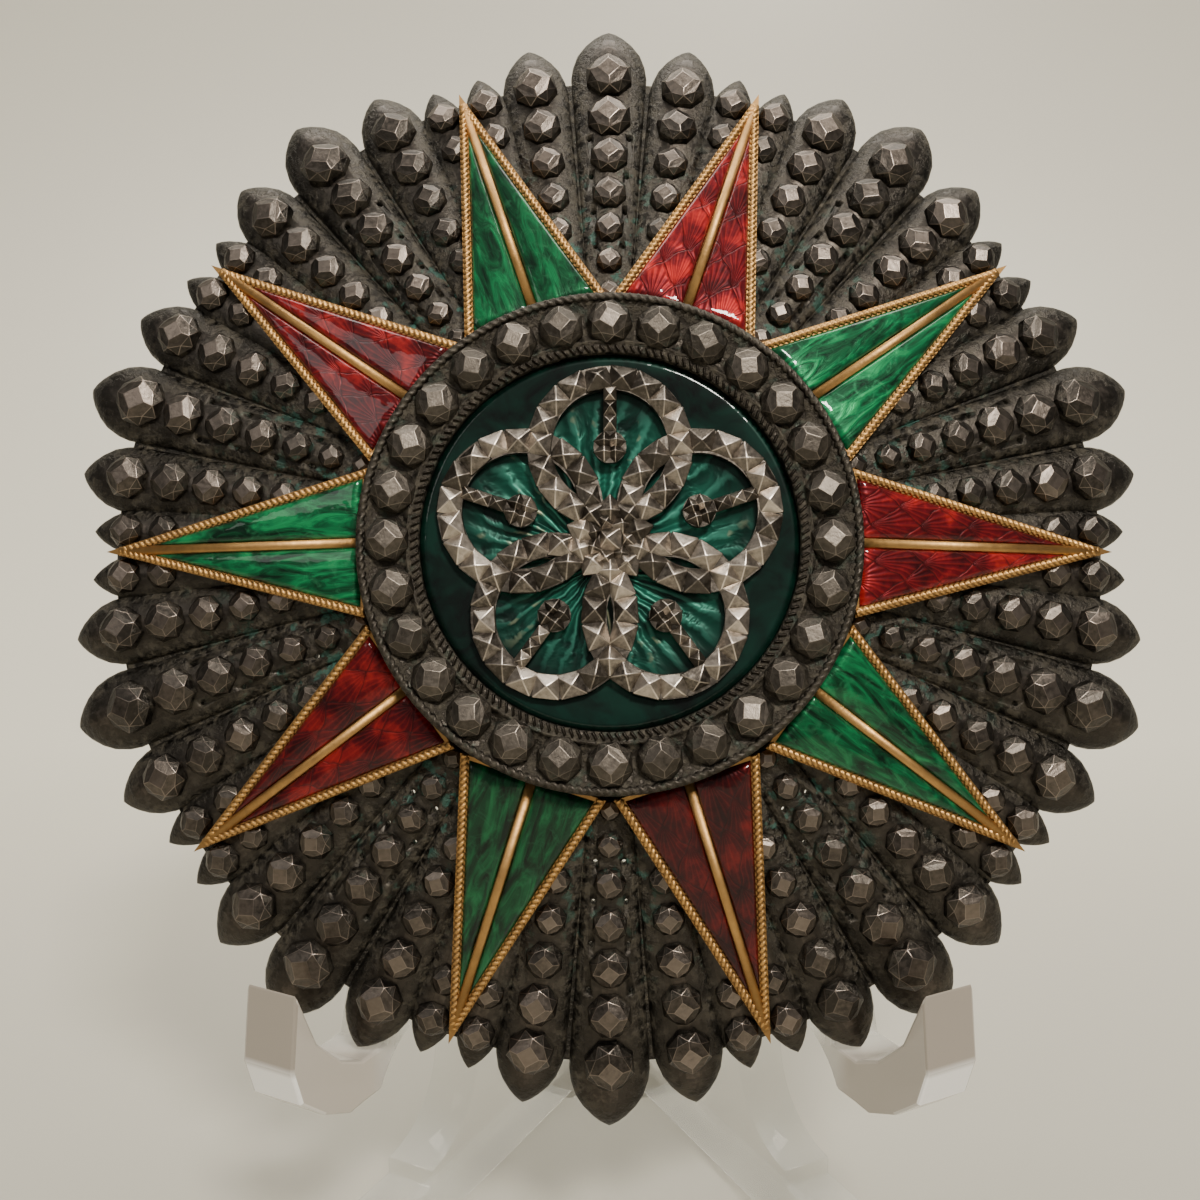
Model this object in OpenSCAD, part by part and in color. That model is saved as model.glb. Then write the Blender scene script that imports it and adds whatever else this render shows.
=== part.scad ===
// Breast star with fifty faceted rays and ten enamelled points, on a clear easel.
// The star is built lying face up, then leaned back into the easel.
// The front of the object faces -Y and the easel stands on z = 0.

/* [Rays] */
// Overall diameter across the tips of the long rays
star_d = 85; // [76:0.5:94]
// How far the tips of the medium rays stay behind the long ones
medium_setback = 1.25; // [0.6:0.05:2]
// How far the tips of the short rays stay behind the long ones
short_setback = 2.9; // [2:0.1:4]
// Greatest width of a long ray
long_ray_w = 6; // [5:0.1:6.4]
// Greatest width of a medium ray
medium_ray_w = 5.2; // [4.2:0.1:5.6]
// Greatest width of a short ray
short_ray_w = 3.7; // [3:0.1:4]
// Length of the pointed end of a ray
ray_tip_len = 4.6; // [3.6:0.1:5.4]
// Slope of the rays, which makes the star a shallow dome
dome_angle = 14; // [10:0.5:17]
// Thickness of a ray below its outline
ray_edge = 0.5; // [0.4:0.05:0.8]
// Height of a long ray's ridge above its outline, where the ray is widest
ray_rise = 1.4; // [1:0.05:1.7]
// Angle between a long ray and a medium one
medium_ray_angle = 9; // [8.4:0.1:9.4]
// Angle between a long ray and a short one
short_ray_angle = 15.3; // [14.9:0.1:15.7]

/* [Beads] */
// Distance between the beads of a ray
bead_pitch = 4.05; // [3.8:0.05:4.3]
// Width that a long ray's bead would have at its tip
bead_d = 4.2; // [3.8:0.1:4.4]
// Height of such a bead above the ridge
bead_rise = 1.2; // [0.8:0.05:1.5]
// Distance from a long ray's tip to its first bead
first_bead_setback = 5.3; // [4.6:0.1:6]
// Width of the pierced holes beside the beads of the long rays
pierce_d = 0.65; // [0.4:0.05:0.8]

/* [Enamelled points] */
// How far the tips of the gold points stay behind those of the long rays
point_setback = 5.1; // [4:0.1:7]
// Height of the gold points above the rays' outline
point_lift = 0.8; // [0.6:0.05:1.1]
// Angle between a point's rib and its long side
point_half_angle = 14.3; // [12:0.1:14.6]
// Thickness of a gold point
point_t = 1.1; // [0.9:0.05:1.5]
// Width of the corded border of a point
border_w = 0.65; // [0.5:0.05:0.9]
// Width of the plain rib of a point
rib_w = 0.7; // [0.5:0.05:0.9]
// Depth of the trays that hold the enamel
tray_depth = 0.6; // [0.4:0.05:0.75]
// Height of the swell of the enamel above its edge
enamel_swell = 0.3; // [0.1:0.05:0.5]

/* [Centre] */
// Outer diameter of the beaded ring
ring_d = 35.6; // [34:0.2:37]
// Width of the ring from its outer edge to its opening
ring_w = 4.4; // [3.8:0.1:5]
// Thickness of the ring's flange between its beads
flange_t = 0.7; // [0.5:0.05:1]
// Height of the two edges of the ring above its flange
rim_rise = 0.45; // [0.2:0.05:0.7]
// Width of each edge of the ring
rim_w = 0.7; // [0.5:0.05:0.9]
// Number of beads on the ring
ring_bead_count = 28; // [26:1:29]
// Width of a bead of the ring
ring_bead_d = 2.9; // [2.6:0.05:3.3]
// Height of a ring bead above the flange
ring_bead_rise = 1.2; // [0.9:0.05:1.6]
// Thickness of the enamelled disc at its edge
disc_t = 1.3; // [1:0.05:1.8]
// Depth of the hollow of the enamelled disc
disc_dish = 0.5; // [0.2:0.05:0.7]
// Distance from the openwork ornament to the ring's opening
ornament_gap = 1; // [0.6:0.1:2]
// Width of the ornament's bands
band_w = 1.7; // [1.4:0.05:2]
// Thickness of the ornament's bands
band_t = 0.6; // [0.4:0.05:0.9]
// Height of the faceted studs on the bands
stud_rise = 0.7; // [0.4:0.05:0.9]

/* [Back] */
// Thickness of the hub behind the ring
hub_t = 1.9; // [1.6:0.05:2.3]
// Length of the plate that carries the pin
pin_plate_len = 28; // [20:0.5:29]
// Width of the pin plate
pin_plate_w = 4; // [3:0.1:6]
// Thickness of the pin plate
pin_plate_t = 0.8; // [0.6:0.05:1]
// Diameter of the pin
pin_d = 1.1; // [0.8:0.05:1.4]
// Distance from the pin plate to the middle of the pin
pin_stand_off = 2.4; // [1.8:0.05:2.6]

/* [Easel] */
// Angle that the star leans back from upright
lean = 14; // [10:0.5:20]
// Angle of each side frame to the object's middle plane
splay = 27; // [24:0.5:32]
// Thickness of the clear side frames
frame_t = 4.4; // [3.5:0.1:5]
// Height of the hooks' seats above the table
seat_h = 20; // [18:0.5:24]
// How far the hooks reach forward of their seats
hook_reach = 10.4; // [9.5:0.1:12]
// Height of the hooks' lips above their seats
lip_rise = 8.1; // [6.5:0.1:8.8]
// Thickness of the hooks under their seats
hook_t = 3.35; // [2.8:0.05:4]
// Height of the top of the uprights
upright_top = 64; // [58:1:72]
// Width of the uprights at their top
upright_w = 5.5; // [4.5:0.1:7]
// Height of the rear edge of the frames
rear_h = 30; // [26:1:36]
// Height of the bars that stand on the table
foot_h = 5; // [4:0.1:6]
// How far the feet reach forward of the seats
foot_reach = 6; // [4:0.5:9]
// Radius of the arch between a hook and its foot
arch_r = 7; // [6.4:0.1:7.4]
// Clearance under the bars between the feet
foot_arch = 1; // [0.6:0.1:1.6]

/* [Fits] */
// Clearance between pieces that are set into one another
fit = 0.06; // [0.05:0.01:0.12]
// Clearance between the star and the easel
rest_gap = 0.12; // [0.08:0.01:0.2]

/* [Hidden] */
groups = 10;
group_step = 360 / groups;
star_r = star_d / 2;
medium_r = star_r - medium_setback;
short_r = star_r - short_setback;
ring_r = ring_d / 2;
opening_r = ring_r - ring_w;
ornament_r = opening_r - ornament_gap;
point_tip_r = star_r - point_setback;
round_sides = 40;

// The rays run under the ring to the edge of the hub, and a little into it
hub_inset = 1.9;
hub_overlap = 0.5;
hub_r = ring_r - hub_inset;
ray_inner_r = hub_r - hub_overlap;

// How far the ring covers the bases of the points
base_cover = 0.83;
point_base_r = ring_r - base_cover;
// Half width that a point gains for each millimetre of radius
point_spread = tan(point_half_angle) / cos(dome_angle);
// Distance of a point's corners from the line halfway to the next point
corner_gap = 0.14;
// Width of the plain border at a point's base, which the ring covers
base_border_w = 0.3;

// Half width of a pointed ray end
// columns: share of the tip's length, share of the ray's half width
ray_tip_shape = [
    [0.00, 0.06],
    [0.20, 0.45],
    [0.55, 0.84],
    [1.00, 1.00],
];
// Cross section of a ray
// columns: share of the outline's width, share of the ridge's height above zero or of
// ray_edge below it
ray_section = [
    [1.00, -0.80],
    [0.62, 1.00],
];
// Width and height of a ray at the hub, as a share of its greatest ones
root_share = 0.46;

// The web closes the valleys between the rays, down to ray_edge below their outlines
web_inset = 0.3;
web_rise_share = 0.07;
web_r = star_r - ray_tip_len - web_inset;
web_top = ray_rise * web_rise_share;

// Rays of one group
// columns: angle from the group's middle, tip radius, width, share of bead size,
// share of the first bead's setback, number of beads
group_rays = [
    [0, star_r, long_ray_w, 1.00, 1.00, 7],
    [-medium_ray_angle, medium_r, medium_ray_w, 0.92, 0.86, 6],
    [medium_ray_angle, medium_r, medium_ray_w, 0.92, 0.86, 6],
    [-short_ray_angle, short_r, short_ray_w, 0.70, 0.60, 3],
    [short_ray_angle, short_r, short_ray_w, 0.70, 0.60, 3],
];
// Size of the innermost beads and of their pitch, as shares of the outermost
inner_bead_share = 0.36;
inner_pitch_share = 0.57;
// Width of a bead's flat table, as a share of the bead's width
table_share = 0.5;
// How far beads reach into what carries them, as a share of their width, and studs in millimetres
bead_sink_share = 0.1;
stud_sink = 0.05;
// A bead that a point would cover by more than this share of its half width is left out
covered_share = 0.15;
// Joints between the beads of a long ray that have holes beside them, counted from the tip
pierced_joints = [2:5];

// Height of the cone of the ray outlines at a radius, and the distance along it from the rim
function cone_z(r) = (star_r - r) * tan(dome_angle);
function slope_x(r) = (r - star_r) / cos(dome_angle);
function rim_share(r) = (r - ring_r) / (star_r - ring_r);
function bead_w(ray, r) = bead_d * ray[3] * (inner_bead_share + (1 - inner_bead_share) * rim_share(r));
function bead_r(ray, i) =
    i == 0 ? ray[1] - first_bead_setback * ray[4]
    : let (r = bead_r(ray, i - 1))
        r - bead_pitch * pitch_share(ray) * (inner_pitch_share + (1 - inner_pitch_share) * rim_share(r));
// A smaller ray's beads lie closer together
function pitch_share(ray) = (1 + ray[3]) / 2;
// Height of a ray's ridge at a radius: it falls toward the hub, as the ray narrows
function ridge_z(ray, r) =
    let (wide_r = ray[1] - ray_tip_len)
    ray_rise * ray[2] / long_ray_w
        * min(1, root_share + (1 - root_share) * (r - ray_inner_r) / (wide_r - ray_inner_r));
// Distance of a place on a ray from the long side of the nearest point, negative under it
function point_side_gap(ray, r) =
    let (off = group_step / 2 - abs(ray[0]))
    r * cos(off) > point_tip_r ? star_r
    : (r * sin(off) - (point_tip_r - r * cos(off)) * point_spread) * cos(point_half_angle);
function bead_shows(ray, r) =
    r > ring_r && point_side_gap(ray, r) > -covered_share * bead_w(ray, r) / 2;

// Heights of the centre's layers, from the hub up
hub_top = cone_z(ray_inner_r) + (point_lift + fit) / cos(dome_angle);
hub_bottom = hub_top - hub_t;
point_seat = point_lift - fit;
point_top = point_seat + fit + point_t;
flange_z = cone_z(point_base_r) + (point_top + enamel_swell) / cos(dome_angle) + fit;
flange_top = flange_z + flange_t;
ring_mid_r = (ring_r + opening_r) / 2;
ring_chamfer = 0.2;
disc_z = hub_top + fit;
disc_r = opening_r - fit;
disc_edge_w = 0.5;
disc_hollow_r = disc_r - disc_edge_w;
disc_steps = 8;
function dish_z(r) = disc_z + disc_t - disc_dish * (1 - pow(r / disc_hollow_r, 2));

// Ornament: loops round a boss, with a bud on a stem inside each loop
loops = 5;
loop_step = 360 / loops;
loop_share = 0.43;
loop_r = (ornament_r - band_w / 2) * loop_share;
loop_centre_r = ornament_r - band_w / 2 - loop_r;
loop_studs = 18;
// Sizes of the boss, the buds and the stems, as shares of the bands' width
boss_share = 1.1;
bud_share = 0.68;
stem_share = 0.5;
boss_r = band_w * boss_share;
bud_r = band_w * bud_share;
stem_w = band_w * stem_share;
// How much of its place a stud fills, and how much of the boss or a bud its bead covers
stud_fill = 0.9;
table_fill = 0.9;
boss_rise_share = 1.4;
// Studs keep this share of the bands' width from the middle of a crossing band
crossing_share = 0.8;
post_r = 0.45;
ornament_z = disc_z + disc_t + fit;
function loop_centre(k) = loop_centre_r * [cos(k * loop_step), sin(k * loop_step)];
// Place of a stud on the first loop, and whether it is clear of the loops that cross it
function stud_place(angle) = loop_centre(0) + loop_r * [cos(angle), sin(angle)];
function crossing_gap(angle) =
    min([for (k = [1:loops - 1]) abs(norm(stud_place(angle) - loop_centre(k)) - loop_r)]);
function stud_clear(angle) =
    crossing_gap(angle) > band_w * crossing_share && norm(stud_place(angle)) > boss_r + band_w / 2;

// Enamel panels: a flat seat, a straight edge and a crown
panel_seat = point_seat + fit + point_t - tray_depth;
panel_edge_share = 0.7;
panel_crown_share = 0.5;
panel_swell_share = 0.8;

// Place of the star in the easel: the medium rays beside the lowest groups stand in the hooks
seat_angle = 270 + group_step - medium_ray_angle;
seat_x = medium_r * cos(seat_angle);
seat_below = -medium_r * sin(seat_angle);
corner_lead = frame_t / 2 * sin(splay);
upright_lean = atan(tan(lean) / cos(splay));
upright_shift = (upright_top - seat_h) * tan(upright_lean);
// The frames end at a spine that joins them behind the star
spine_lap = 0.3;
spine_reach = frame_t / 2 / tan(splay) + spine_lap;
spine_back = 1.5;
frame_end = seat_x / sin(splay) - spine_reach - fit;
spine_y = seat_x / tan(splay);
// The origin lies under the middle of the object's box
frame_y = (hook_reach * cos(splay) + corner_lead - spine_y - spine_back) / 2;
star_y = frame_y - corner_lead - rest_gap + seat_below * sin(lean) - ray_edge * cos(lean);
star_z = seat_h + rest_gap + seat_below * cos(lean) + ray_edge * sin(lean);

// Side of a hook, from the seat round the lip to the underside
// columns: share of hook_reach forward of the seat, share of lip_rise, share of hook_t
hook_shape = [
    [0.00, 0.00, 0.00],
    [0.27, 0.00, 0.00],
    [0.49, 0.14, 0.00],
    [0.74, 0.45, 0.00],
    [0.93, 1.00, 0.00],
    [1.00, 0.33, 0.00],
    [0.92, 0.00, 0.00],
    [0.69, 0.00, -0.60],
    [0.42, 0.00, -1.00],
    [0.27, 0.00, -0.98],
];
// Place of the arch behind a hook: how far it cuts forward of the seat, and below the seat
arch_lead = 1.5;
arch_drop = 6.6;
arch_u = arch_r - arch_lead;
arch_v = seat_h - arch_drop;
foot_toe = 1.6;
// Lengths of the ends of a bar that touch the table
foot_len = 5;
heel_len = 7;
foot_arch_len = frame_end - heel_len - foot_len;
back_sweep = 25;

// A convex solid through points
module solid_of(points)
    hull()
        polyhedron(points = points, faces = [[for (i = [0:len(points) - 1]) i]]);

// From the star's own frame, face up, to its place in the easel
module in_easel()
    translate([0, star_y, star_z])
        rotate([90 - lean, 0, 0])
            children();

// A strip of the dome's slope, with x = 0 at the rim and the centre along -X
module on_slope(angle)
    rotate([0, 0, angle])
        translate([star_r, 0, 0])
            rotate([0, dome_angle, 0])
                children();

// Faceted bead, standing on z = 0: a square table and, turned from it, a square base
module bead(width, rise)
    solid_of([
        for (a = [0:90:270]) each [
            [cos(a + 45) * width / 2, sin(a + 45) * width / 2, -bead_sink_share * width],
            [cos(a) * width / 2 * table_share, sin(a) * width / 2 * table_share, rise],
        ]
    ]);

function ray_outline(ray, share) =
    let (
        tip = slope_x(ray[1]),
        half = ray[2] / 2 * share,
        inset = ray[2] / 2 * (1 - share),
        root = slope_x(ray_inner_r),
        side = [for (s = ray_tip_shape) [tip - inset - s[0] * ray_tip_len, s[1] * half]]
    )
    concat(
        side,
        [[root, half * root_share], [root, -half * root_share]],
        [for (i = [len(side) - 1:-1:0]) [side[i][0], -side[i][1]]]
    );

module ray_ridge(ray)
    let (root = slope_x(ray_inner_r), wide_r = ray[1] - ray_tip_len)
        solid_of([
            for (s = ray_section)
                for (p = ray_outline(ray, s[0]))
                    let (r = p[0] == root ? ray_inner_r : wide_r)
                        [p[0], p[1], s[1] < 0 ? s[1] * ray_edge : s[1] * ridge_z(ray, r)]
        ]);

module ray_beads(ray)
    for (i = [0:ray[5] - 1])
        let (r = bead_r(ray, i))
            if (bead_shows(ray, r))
                translate([slope_x(r), 0, ridge_z(ray, r)])
                    bead(bead_w(ray, r), bead_rise * bead_w(ray, r) / bead_d);

// Square holes at the joints between the beads, one on each side
module ray_holes(ray)
    for (i = pierced_joints, side = [-1, 1])
        let (r = (bead_r(ray, i - 1) + bead_r(ray, i)) / 2)
            translate([slope_x(r), side * bead_w(ray, r) / 2, -2 * ray_edge])
                rotate([0, 0, 45])
                    cylinder(h = 2 * (ray_edge + ray_rise), d = pierce_d, $fn = 4);

module web()
    rotate_extrude($fn = round_sides)
        polygon([
            [ray_inner_r, cone_z(ray_inner_r) - ray_edge],
            [web_r, cone_z(web_r) - ray_edge],
            [web_r, cone_z(web_r) + web_top],
            [ray_inner_r, cone_z(ray_inner_r) + web_top],
        ]);

module hub()
    translate([0, 0, hub_bottom])
        cylinder(h = hub_t, r = hub_r, $fn = round_sides);

// Pocket of a gold point on the slope, which is its triangle grown by the clearance
module point_pocket() {
    tip = slope_x(point_tip_r) + fit / sin(point_half_angle);
    base = slope_x(point_base_r) - fit;
    half = (tip - base) * tan(point_half_angle);
    polygon([[tip, 0], [base, half], [base, -half]]);
}

// Corners at the foot of a triangle on the slope, from the side to the base. They are cut along
// the line halfway to the next point where they would come nearer to it than a gap.
function halfway_y(x, gap) = (star_r + x * cos(dome_angle)) * tan(group_step / 2) - gap;
function foot_corners(tip, base, gap) =
    let (
        slope = tan(point_half_angle),
        turn = cos(dome_angle) * tan(group_step / 2),
        cut = (tip * slope - star_r * tan(group_step / 2) + gap) / (slope + turn)
    )
    cut > base ? [[cut, halfway_y(cut, gap)], [base, halfway_y(base, gap)]]
    : [[base, (tip - base) * slope]];

module point_outline() {
    tip = slope_x(point_tip_r);
    foot = foot_corners(tip, slope_x(point_base_r), corner_gap);
    polygon(concat(
        [[tip, 0]],
        foot,
        [for (i = [len(foot) - 1:-1:0]) [foot[i][0], -foot[i][1]]]
    ));
}

// Outline of the tray on one side of the rib, drawn in by a clearance
function tray_outline(side, clearance) =
    let (
        rib = rib_w / 2 + clearance,
        edge = (border_w + clearance) / cos(point_half_angle),
        slope = tan(point_half_angle),
        tip = slope_x(point_tip_r),
        base = slope_x(point_base_r) + base_border_w + clearance,
        foot = foot_corners(tip - edge / slope, base, corner_gap + border_w + clearance)
    )
    concat(
        [[tip - (rib + edge) / slope, side * rib], [base, side * rib]],
        [for (i = [len(foot) - 1:-1:0]) [foot[i][0], side * foot[i][1]]]
    );

module star_body()
    color("dimgray")
        in_easel()
            difference() {
                union() {
                    for (g = [0:groups - 1], ray = group_rays)
                        on_slope((g + 0.5) * group_step + ray[0]) {
                            ray_ridge(ray);
                            ray_beads(ray);
                        }
                    web();
                    hub();
                }
                for (k = [0:groups - 1])
                    on_slope(k * group_step)
                        translate([0, 0, point_seat])
                            linear_extrude(point_t + bead_rise)
                                point_pocket();
                for (g = [0:groups - 1])
                    on_slope((g + 0.5) * group_step)
                        ray_holes(group_rays[0]);
            }

module point_frame(k)
    color("goldenrod")
        in_easel()
            on_slope(k * group_step)
                translate([0, 0, point_seat + fit])
                    difference() {
                        linear_extrude(point_t)
                            point_outline();
                        for (side = [-1, 1])
                            translate([0, 0, point_t - tray_depth])
                                linear_extrude(2 * tray_depth)
                                    polygon(tray_outline(side, 0));
                    }

module point_enamel(k, side)
    color(k % 2 == 0 ? "firebrick" : "forestgreen")
        in_easel()
            on_slope(k * group_step) {
                outline = tray_outline(side, fit);
                middle = [for (p = outline) 1] * outline / len(outline);
                crown_z = panel_seat + tray_depth + enamel_swell * panel_swell_share;
                solid_of(concat(
                    [for (p = outline) [p[0], p[1], panel_seat + fit]],
                    [for (p = outline) [p[0], p[1], panel_seat + tray_depth * panel_edge_share]],
                    [for (p = outline)
                        let (q = middle + (p - middle) * panel_crown_share)
                            [q[0], q[1], crown_z]]
                ));
            }

module centre_ring()
    color("dimgray")
        in_easel() {
            rotate_extrude($fn = round_sides)
                polygon([
                    [opening_r, hub_top + fit],
                    [hub_r, hub_top + fit],
                    [hub_r, flange_z],
                    [ring_r - ring_chamfer, flange_z],
                    [ring_r, flange_z + ring_chamfer],
                    [ring_r, flange_top + rim_rise],
                    [ring_r - rim_w, flange_top + rim_rise],
                    [ring_r - rim_w - ring_chamfer, flange_top],
                    [opening_r + rim_w + ring_chamfer, flange_top],
                    [opening_r + rim_w, flange_top + rim_rise],
                    [opening_r, flange_top + rim_rise],
                ]);
            for (i = [0:ring_bead_count - 1])
                rotate([0, 0, i * 360 / ring_bead_count])
                    translate([ring_mid_r, 0, flange_top])
                        bead(ring_bead_d, ring_bead_rise);
        }

module centre_enamel()
    color("seagreen")
        in_easel()
            rotate_extrude($fn = 64)
                polygon(concat(
                    [[0, disc_z], [disc_r, disc_z], [disc_r, disc_z + disc_t]],
                    [for (i = [disc_steps:-1:0])
                        let (r = disc_hollow_r * i / disc_steps)
                            [r, dish_z(r)]]
                ));

// Puts its children at the middle of each loop, with +X pointing outward
module at_loops()
    for (k = [0:loops - 1])
        rotate([0, 0, 90 + k * loop_step])
            translate([loop_centre_r, 0, 0])
                children();

module ornament_bands()
    linear_extrude(band_t) {
        at_loops() {
            difference() {
                circle(r = loop_r + band_w / 2, $fn = 24);
                circle(r = loop_r - band_w / 2, $fn = 24);
            }
            circle(r = bud_r, $fn = 12);
            translate([0, -stem_w / 2])
                square([loop_r, stem_w]);
        }
        circle(r = boss_r, $fn = 16);
    }

// Square pyramid on a band, its sides along X and Y
module stud(length, width)
    solid_of([
        [-length / 2, -width / 2, -stud_sink],
        [length / 2, -width / 2, -stud_sink],
        [length / 2, width / 2, -stud_sink],
        [-length / 2, width / 2, -stud_sink],
        [0, 0, stud_rise],
    ]);

module loop_stud_row() {
    stud_pitch = 2 * PI * loop_r / loop_studs;
    for (i = [0:loop_studs - 1])
        let (angle = (i + 0.5) * 360 / loop_studs)
            if (stud_clear(angle))
                rotate([0, 0, angle])
                    translate([loop_r, 0])
                        stud(band_w * stud_fill, stud_pitch * stud_fill);
}

module centre_ornament()
    color("silver")
        in_easel()
            translate([0, 0, ornament_z]) {
                ornament_bands();
                at_loops() {
                    translate([0, 0, band_t]) {
                        loop_stud_row();
                        bead(2 * bud_r * table_fill, stud_rise);
                    }
                    translate([0, 0, dish_z(loop_centre_r) + fit - ornament_z])
                        cylinder(h = ornament_z - dish_z(loop_centre_r), r = post_r, $fn = 8);
                }
                translate([0, 0, band_t])
                    bead(2 * boss_r * table_fill, stud_rise * boss_rise_share);
            }

// Plate, two posts and a straight pin, in one piece behind the hub
module back_pin()
    color("gray")
        in_easel()
            translate([0, 0, hub_bottom - fit - pin_plate_t]) {
                post_y = pin_plate_len / 2 - pin_d;
                translate([-pin_plate_w / 2, -pin_plate_len / 2, 0])
                    cube([pin_plate_w, pin_plate_len, pin_plate_t]);
                for (end = [-1, 1])
                    translate([0, end * post_y, -pin_stand_off - pin_d])
                        cylinder(h = pin_stand_off + pin_d + pin_plate_t / 2, d = 2 * pin_d, $fn = 24);
                translate([0, post_y, -pin_stand_off])
                    rotate([90, 0, 0])
                        cylinder(h = 2 * post_y, d = pin_d, $fn = 24);
            }

// Side view of a frame, with u = 0 at the seat's rear end and u growing backward
module easel_profile()
    difference() {
        union() {
            polygon(concat(
                [
                    [-foot_reach, 0],
                    [frame_end, 0],
                    [frame_end, rear_h],
                    [upright_shift + upright_w, upright_top],
                    [upright_shift, upright_top],
                ],
                [for (p = hook_shape)
                    [-p[0] * hook_reach, seat_h + p[1] * lip_rise + p[2] * hook_t]],
                [
                    [arch_u, seat_h - hook_t],
                    [arch_u, foot_h],
                    [foot_toe - foot_reach, foot_h],
                    [-foot_reach, foot_h - foot_toe],
                ]
            ));
            translate([upright_shift + upright_w / 2, upright_top])
                circle(d = upright_w, $fn = 32);
        }
        translate([arch_u, arch_v])
            circle(r = arch_r, $fn = 48);
        translate([foot_len, -foot_arch])
            square([foot_arch_len, 2 * foot_arch]);
        back_arc();
    }

// Round cut that hollows the rear edge of a side frame
module back_arc() {
    low = [frame_end, rear_h];
    high = [upright_shift + upright_w, upright_top];
    along = (high - low) / norm(high - low);
    centre = (low + high) / 2 + back_sweep * [along[1], -along[0]];
    translate(centre)
        circle(r = norm(centre - low), $fn = 96);
}

module easel_frame()
    color("lightcyan", 0.5)
        translate([-seat_x, frame_y, 0])
            rotate([0, 0, 90 - splay])
                rotate([90, 0, 0])
                    linear_extrude(frame_t, center = true)
                        easel_profile();

module easel_spine()
    color("lightcyan", 0.5)
        translate([0, frame_y + spine_y, 0]) {
            front = -spine_reach * cos(splay);
            side = spine_reach * sin(splay);
            half_end = frame_t / 2 * cos(splay);
            linear_extrude(rear_h)
                polygon([
                    [-side + half_end, front - corner_lead],
                    [side - half_end, front - corner_lead],
                    [side + half_end, front + corner_lead],
                    [side + half_end, spine_back],
                    [-side - half_end, spine_back],
                    [-side - half_end, front + corner_lead],
                ]);
        }

star_body();
centre_ring();
centre_enamel();
centre_ornament();
back_pin();
for (k = [1:groups]) {
    point_frame(k);
    point_enamel(k, 1);
    point_enamel(k, -1);
}
easel_frame();  // easel_frame_left
mirror([1, 0, 0]) easel_frame();  // easel_frame_right
easel_spine();
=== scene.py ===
# Looks of a breast star on a clear easel: silver rays and beads, enamel, gold cord and acrylic.
# Lengths are in millimetres in the star's own frame, face up, until a piece is built in metres.
import math
import random

import bmesh
import bpy
import numpy as np
from mathutils import Matrix, Vector


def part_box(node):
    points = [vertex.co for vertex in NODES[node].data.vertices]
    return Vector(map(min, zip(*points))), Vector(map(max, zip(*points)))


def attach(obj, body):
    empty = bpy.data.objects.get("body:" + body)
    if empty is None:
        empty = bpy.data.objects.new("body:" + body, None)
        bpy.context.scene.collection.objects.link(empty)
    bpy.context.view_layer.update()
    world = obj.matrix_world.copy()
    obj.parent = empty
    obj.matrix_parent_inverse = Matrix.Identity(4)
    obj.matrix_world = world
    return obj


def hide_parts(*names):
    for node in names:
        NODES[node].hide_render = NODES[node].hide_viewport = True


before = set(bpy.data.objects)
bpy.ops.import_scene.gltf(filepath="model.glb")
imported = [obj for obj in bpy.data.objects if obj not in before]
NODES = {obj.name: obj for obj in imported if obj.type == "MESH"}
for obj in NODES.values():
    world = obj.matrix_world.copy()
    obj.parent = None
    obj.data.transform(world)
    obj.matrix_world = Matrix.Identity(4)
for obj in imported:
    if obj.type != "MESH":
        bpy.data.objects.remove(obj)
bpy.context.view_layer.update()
MM = 0.001

# Star
STAR_R = 42.5
LEAN = math.radians(14)
DOME = math.radians(14)
GROUPS = 10
GROUP_STEP = 36.0
LONG_R, MEDIUM_R, SHORT_R = STAR_R, STAR_R - 1.25, STAR_R - 2.9
MEDIUM_ANGLE, SHORT_ANGLE = 9.0, 15.3
RAY_W = {"long": 6.0, "medium": 5.2, "short": 3.7}
TIP_LEN = 4.6
RAY_EDGE = 0.5
RAY_RISE = 1.4
ARCH_STEPS, LOFT_STEPS = 14, 8
ROOT_R = 15.4
ROOT_SHARE = 0.46
WEB_R = 37.6
WEB_TOP = 0.1
HUB_R, HUB_LOW, HUB_HIGH = 15.9, 5.74, 7.6

# Beads: their width and spacing fall to the inner shares from the rim to the centre ring
BEAD_D = 4.2
BEAD_RISE = 1.3
BEAD_PITCH = 4.05
FIRST_BEAD = 5.3
INNER_BEAD, INNER_PITCH = 0.36, 0.57
# A bead is left out where its middle lies under a point by more than this share of its half width
COVERED = 0.15
# Random tilt and turn of a bead in degrees, its width as a share, and its tone
BEAD_LEAN, BEAD_TURN, BEAD_SPREAD, BEAD_TONES = 4, 6, (0.97, 1.04), (0.7, 1.25)
HOLE_W, HOLE_LEN = 0.42, 0.6
HOLE_LOW, HOLE_HIGH = -2.0, 2.5
PIERCED_JOINTS = (2, 3, 4, 5)

# Points
POINT_TIP_R = 37.4
POINT_HALF = math.radians(14.3)
POINT_BASE_R = 16.97
POINT_LOW, FLOOR_TOP, POINT_TOP = 0.8, 1.3, 1.9
BORDER_W, BASE_BORDER_W, BORDER_SINK = 0.65, 0.3, 0.2
RIB_W, RIB_SIDE, RIB_CROWN, RIB_SETBACK = 0.7, 0.45, 0.2, 1.2
CORD_SINK, CORD_PITCH = 0.24, 0.46
CORD_SIDES, CORD_STEPS = 10, 5
FLOOR_WEAR, BORDER_WEAR, RIB_WEAR, CORD_WEAR = 0.1, 0.3, 0.5, 1.0
# Enamel in the trays of a point
TRAY_GAP, PANEL_STEPS, PANEL_SINK, SWELL = 0.02, 22, 0.14, 0.28
# Each point's pattern is taken from a place of its own, this much further on
PATTERN_STEP = 50.0

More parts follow.
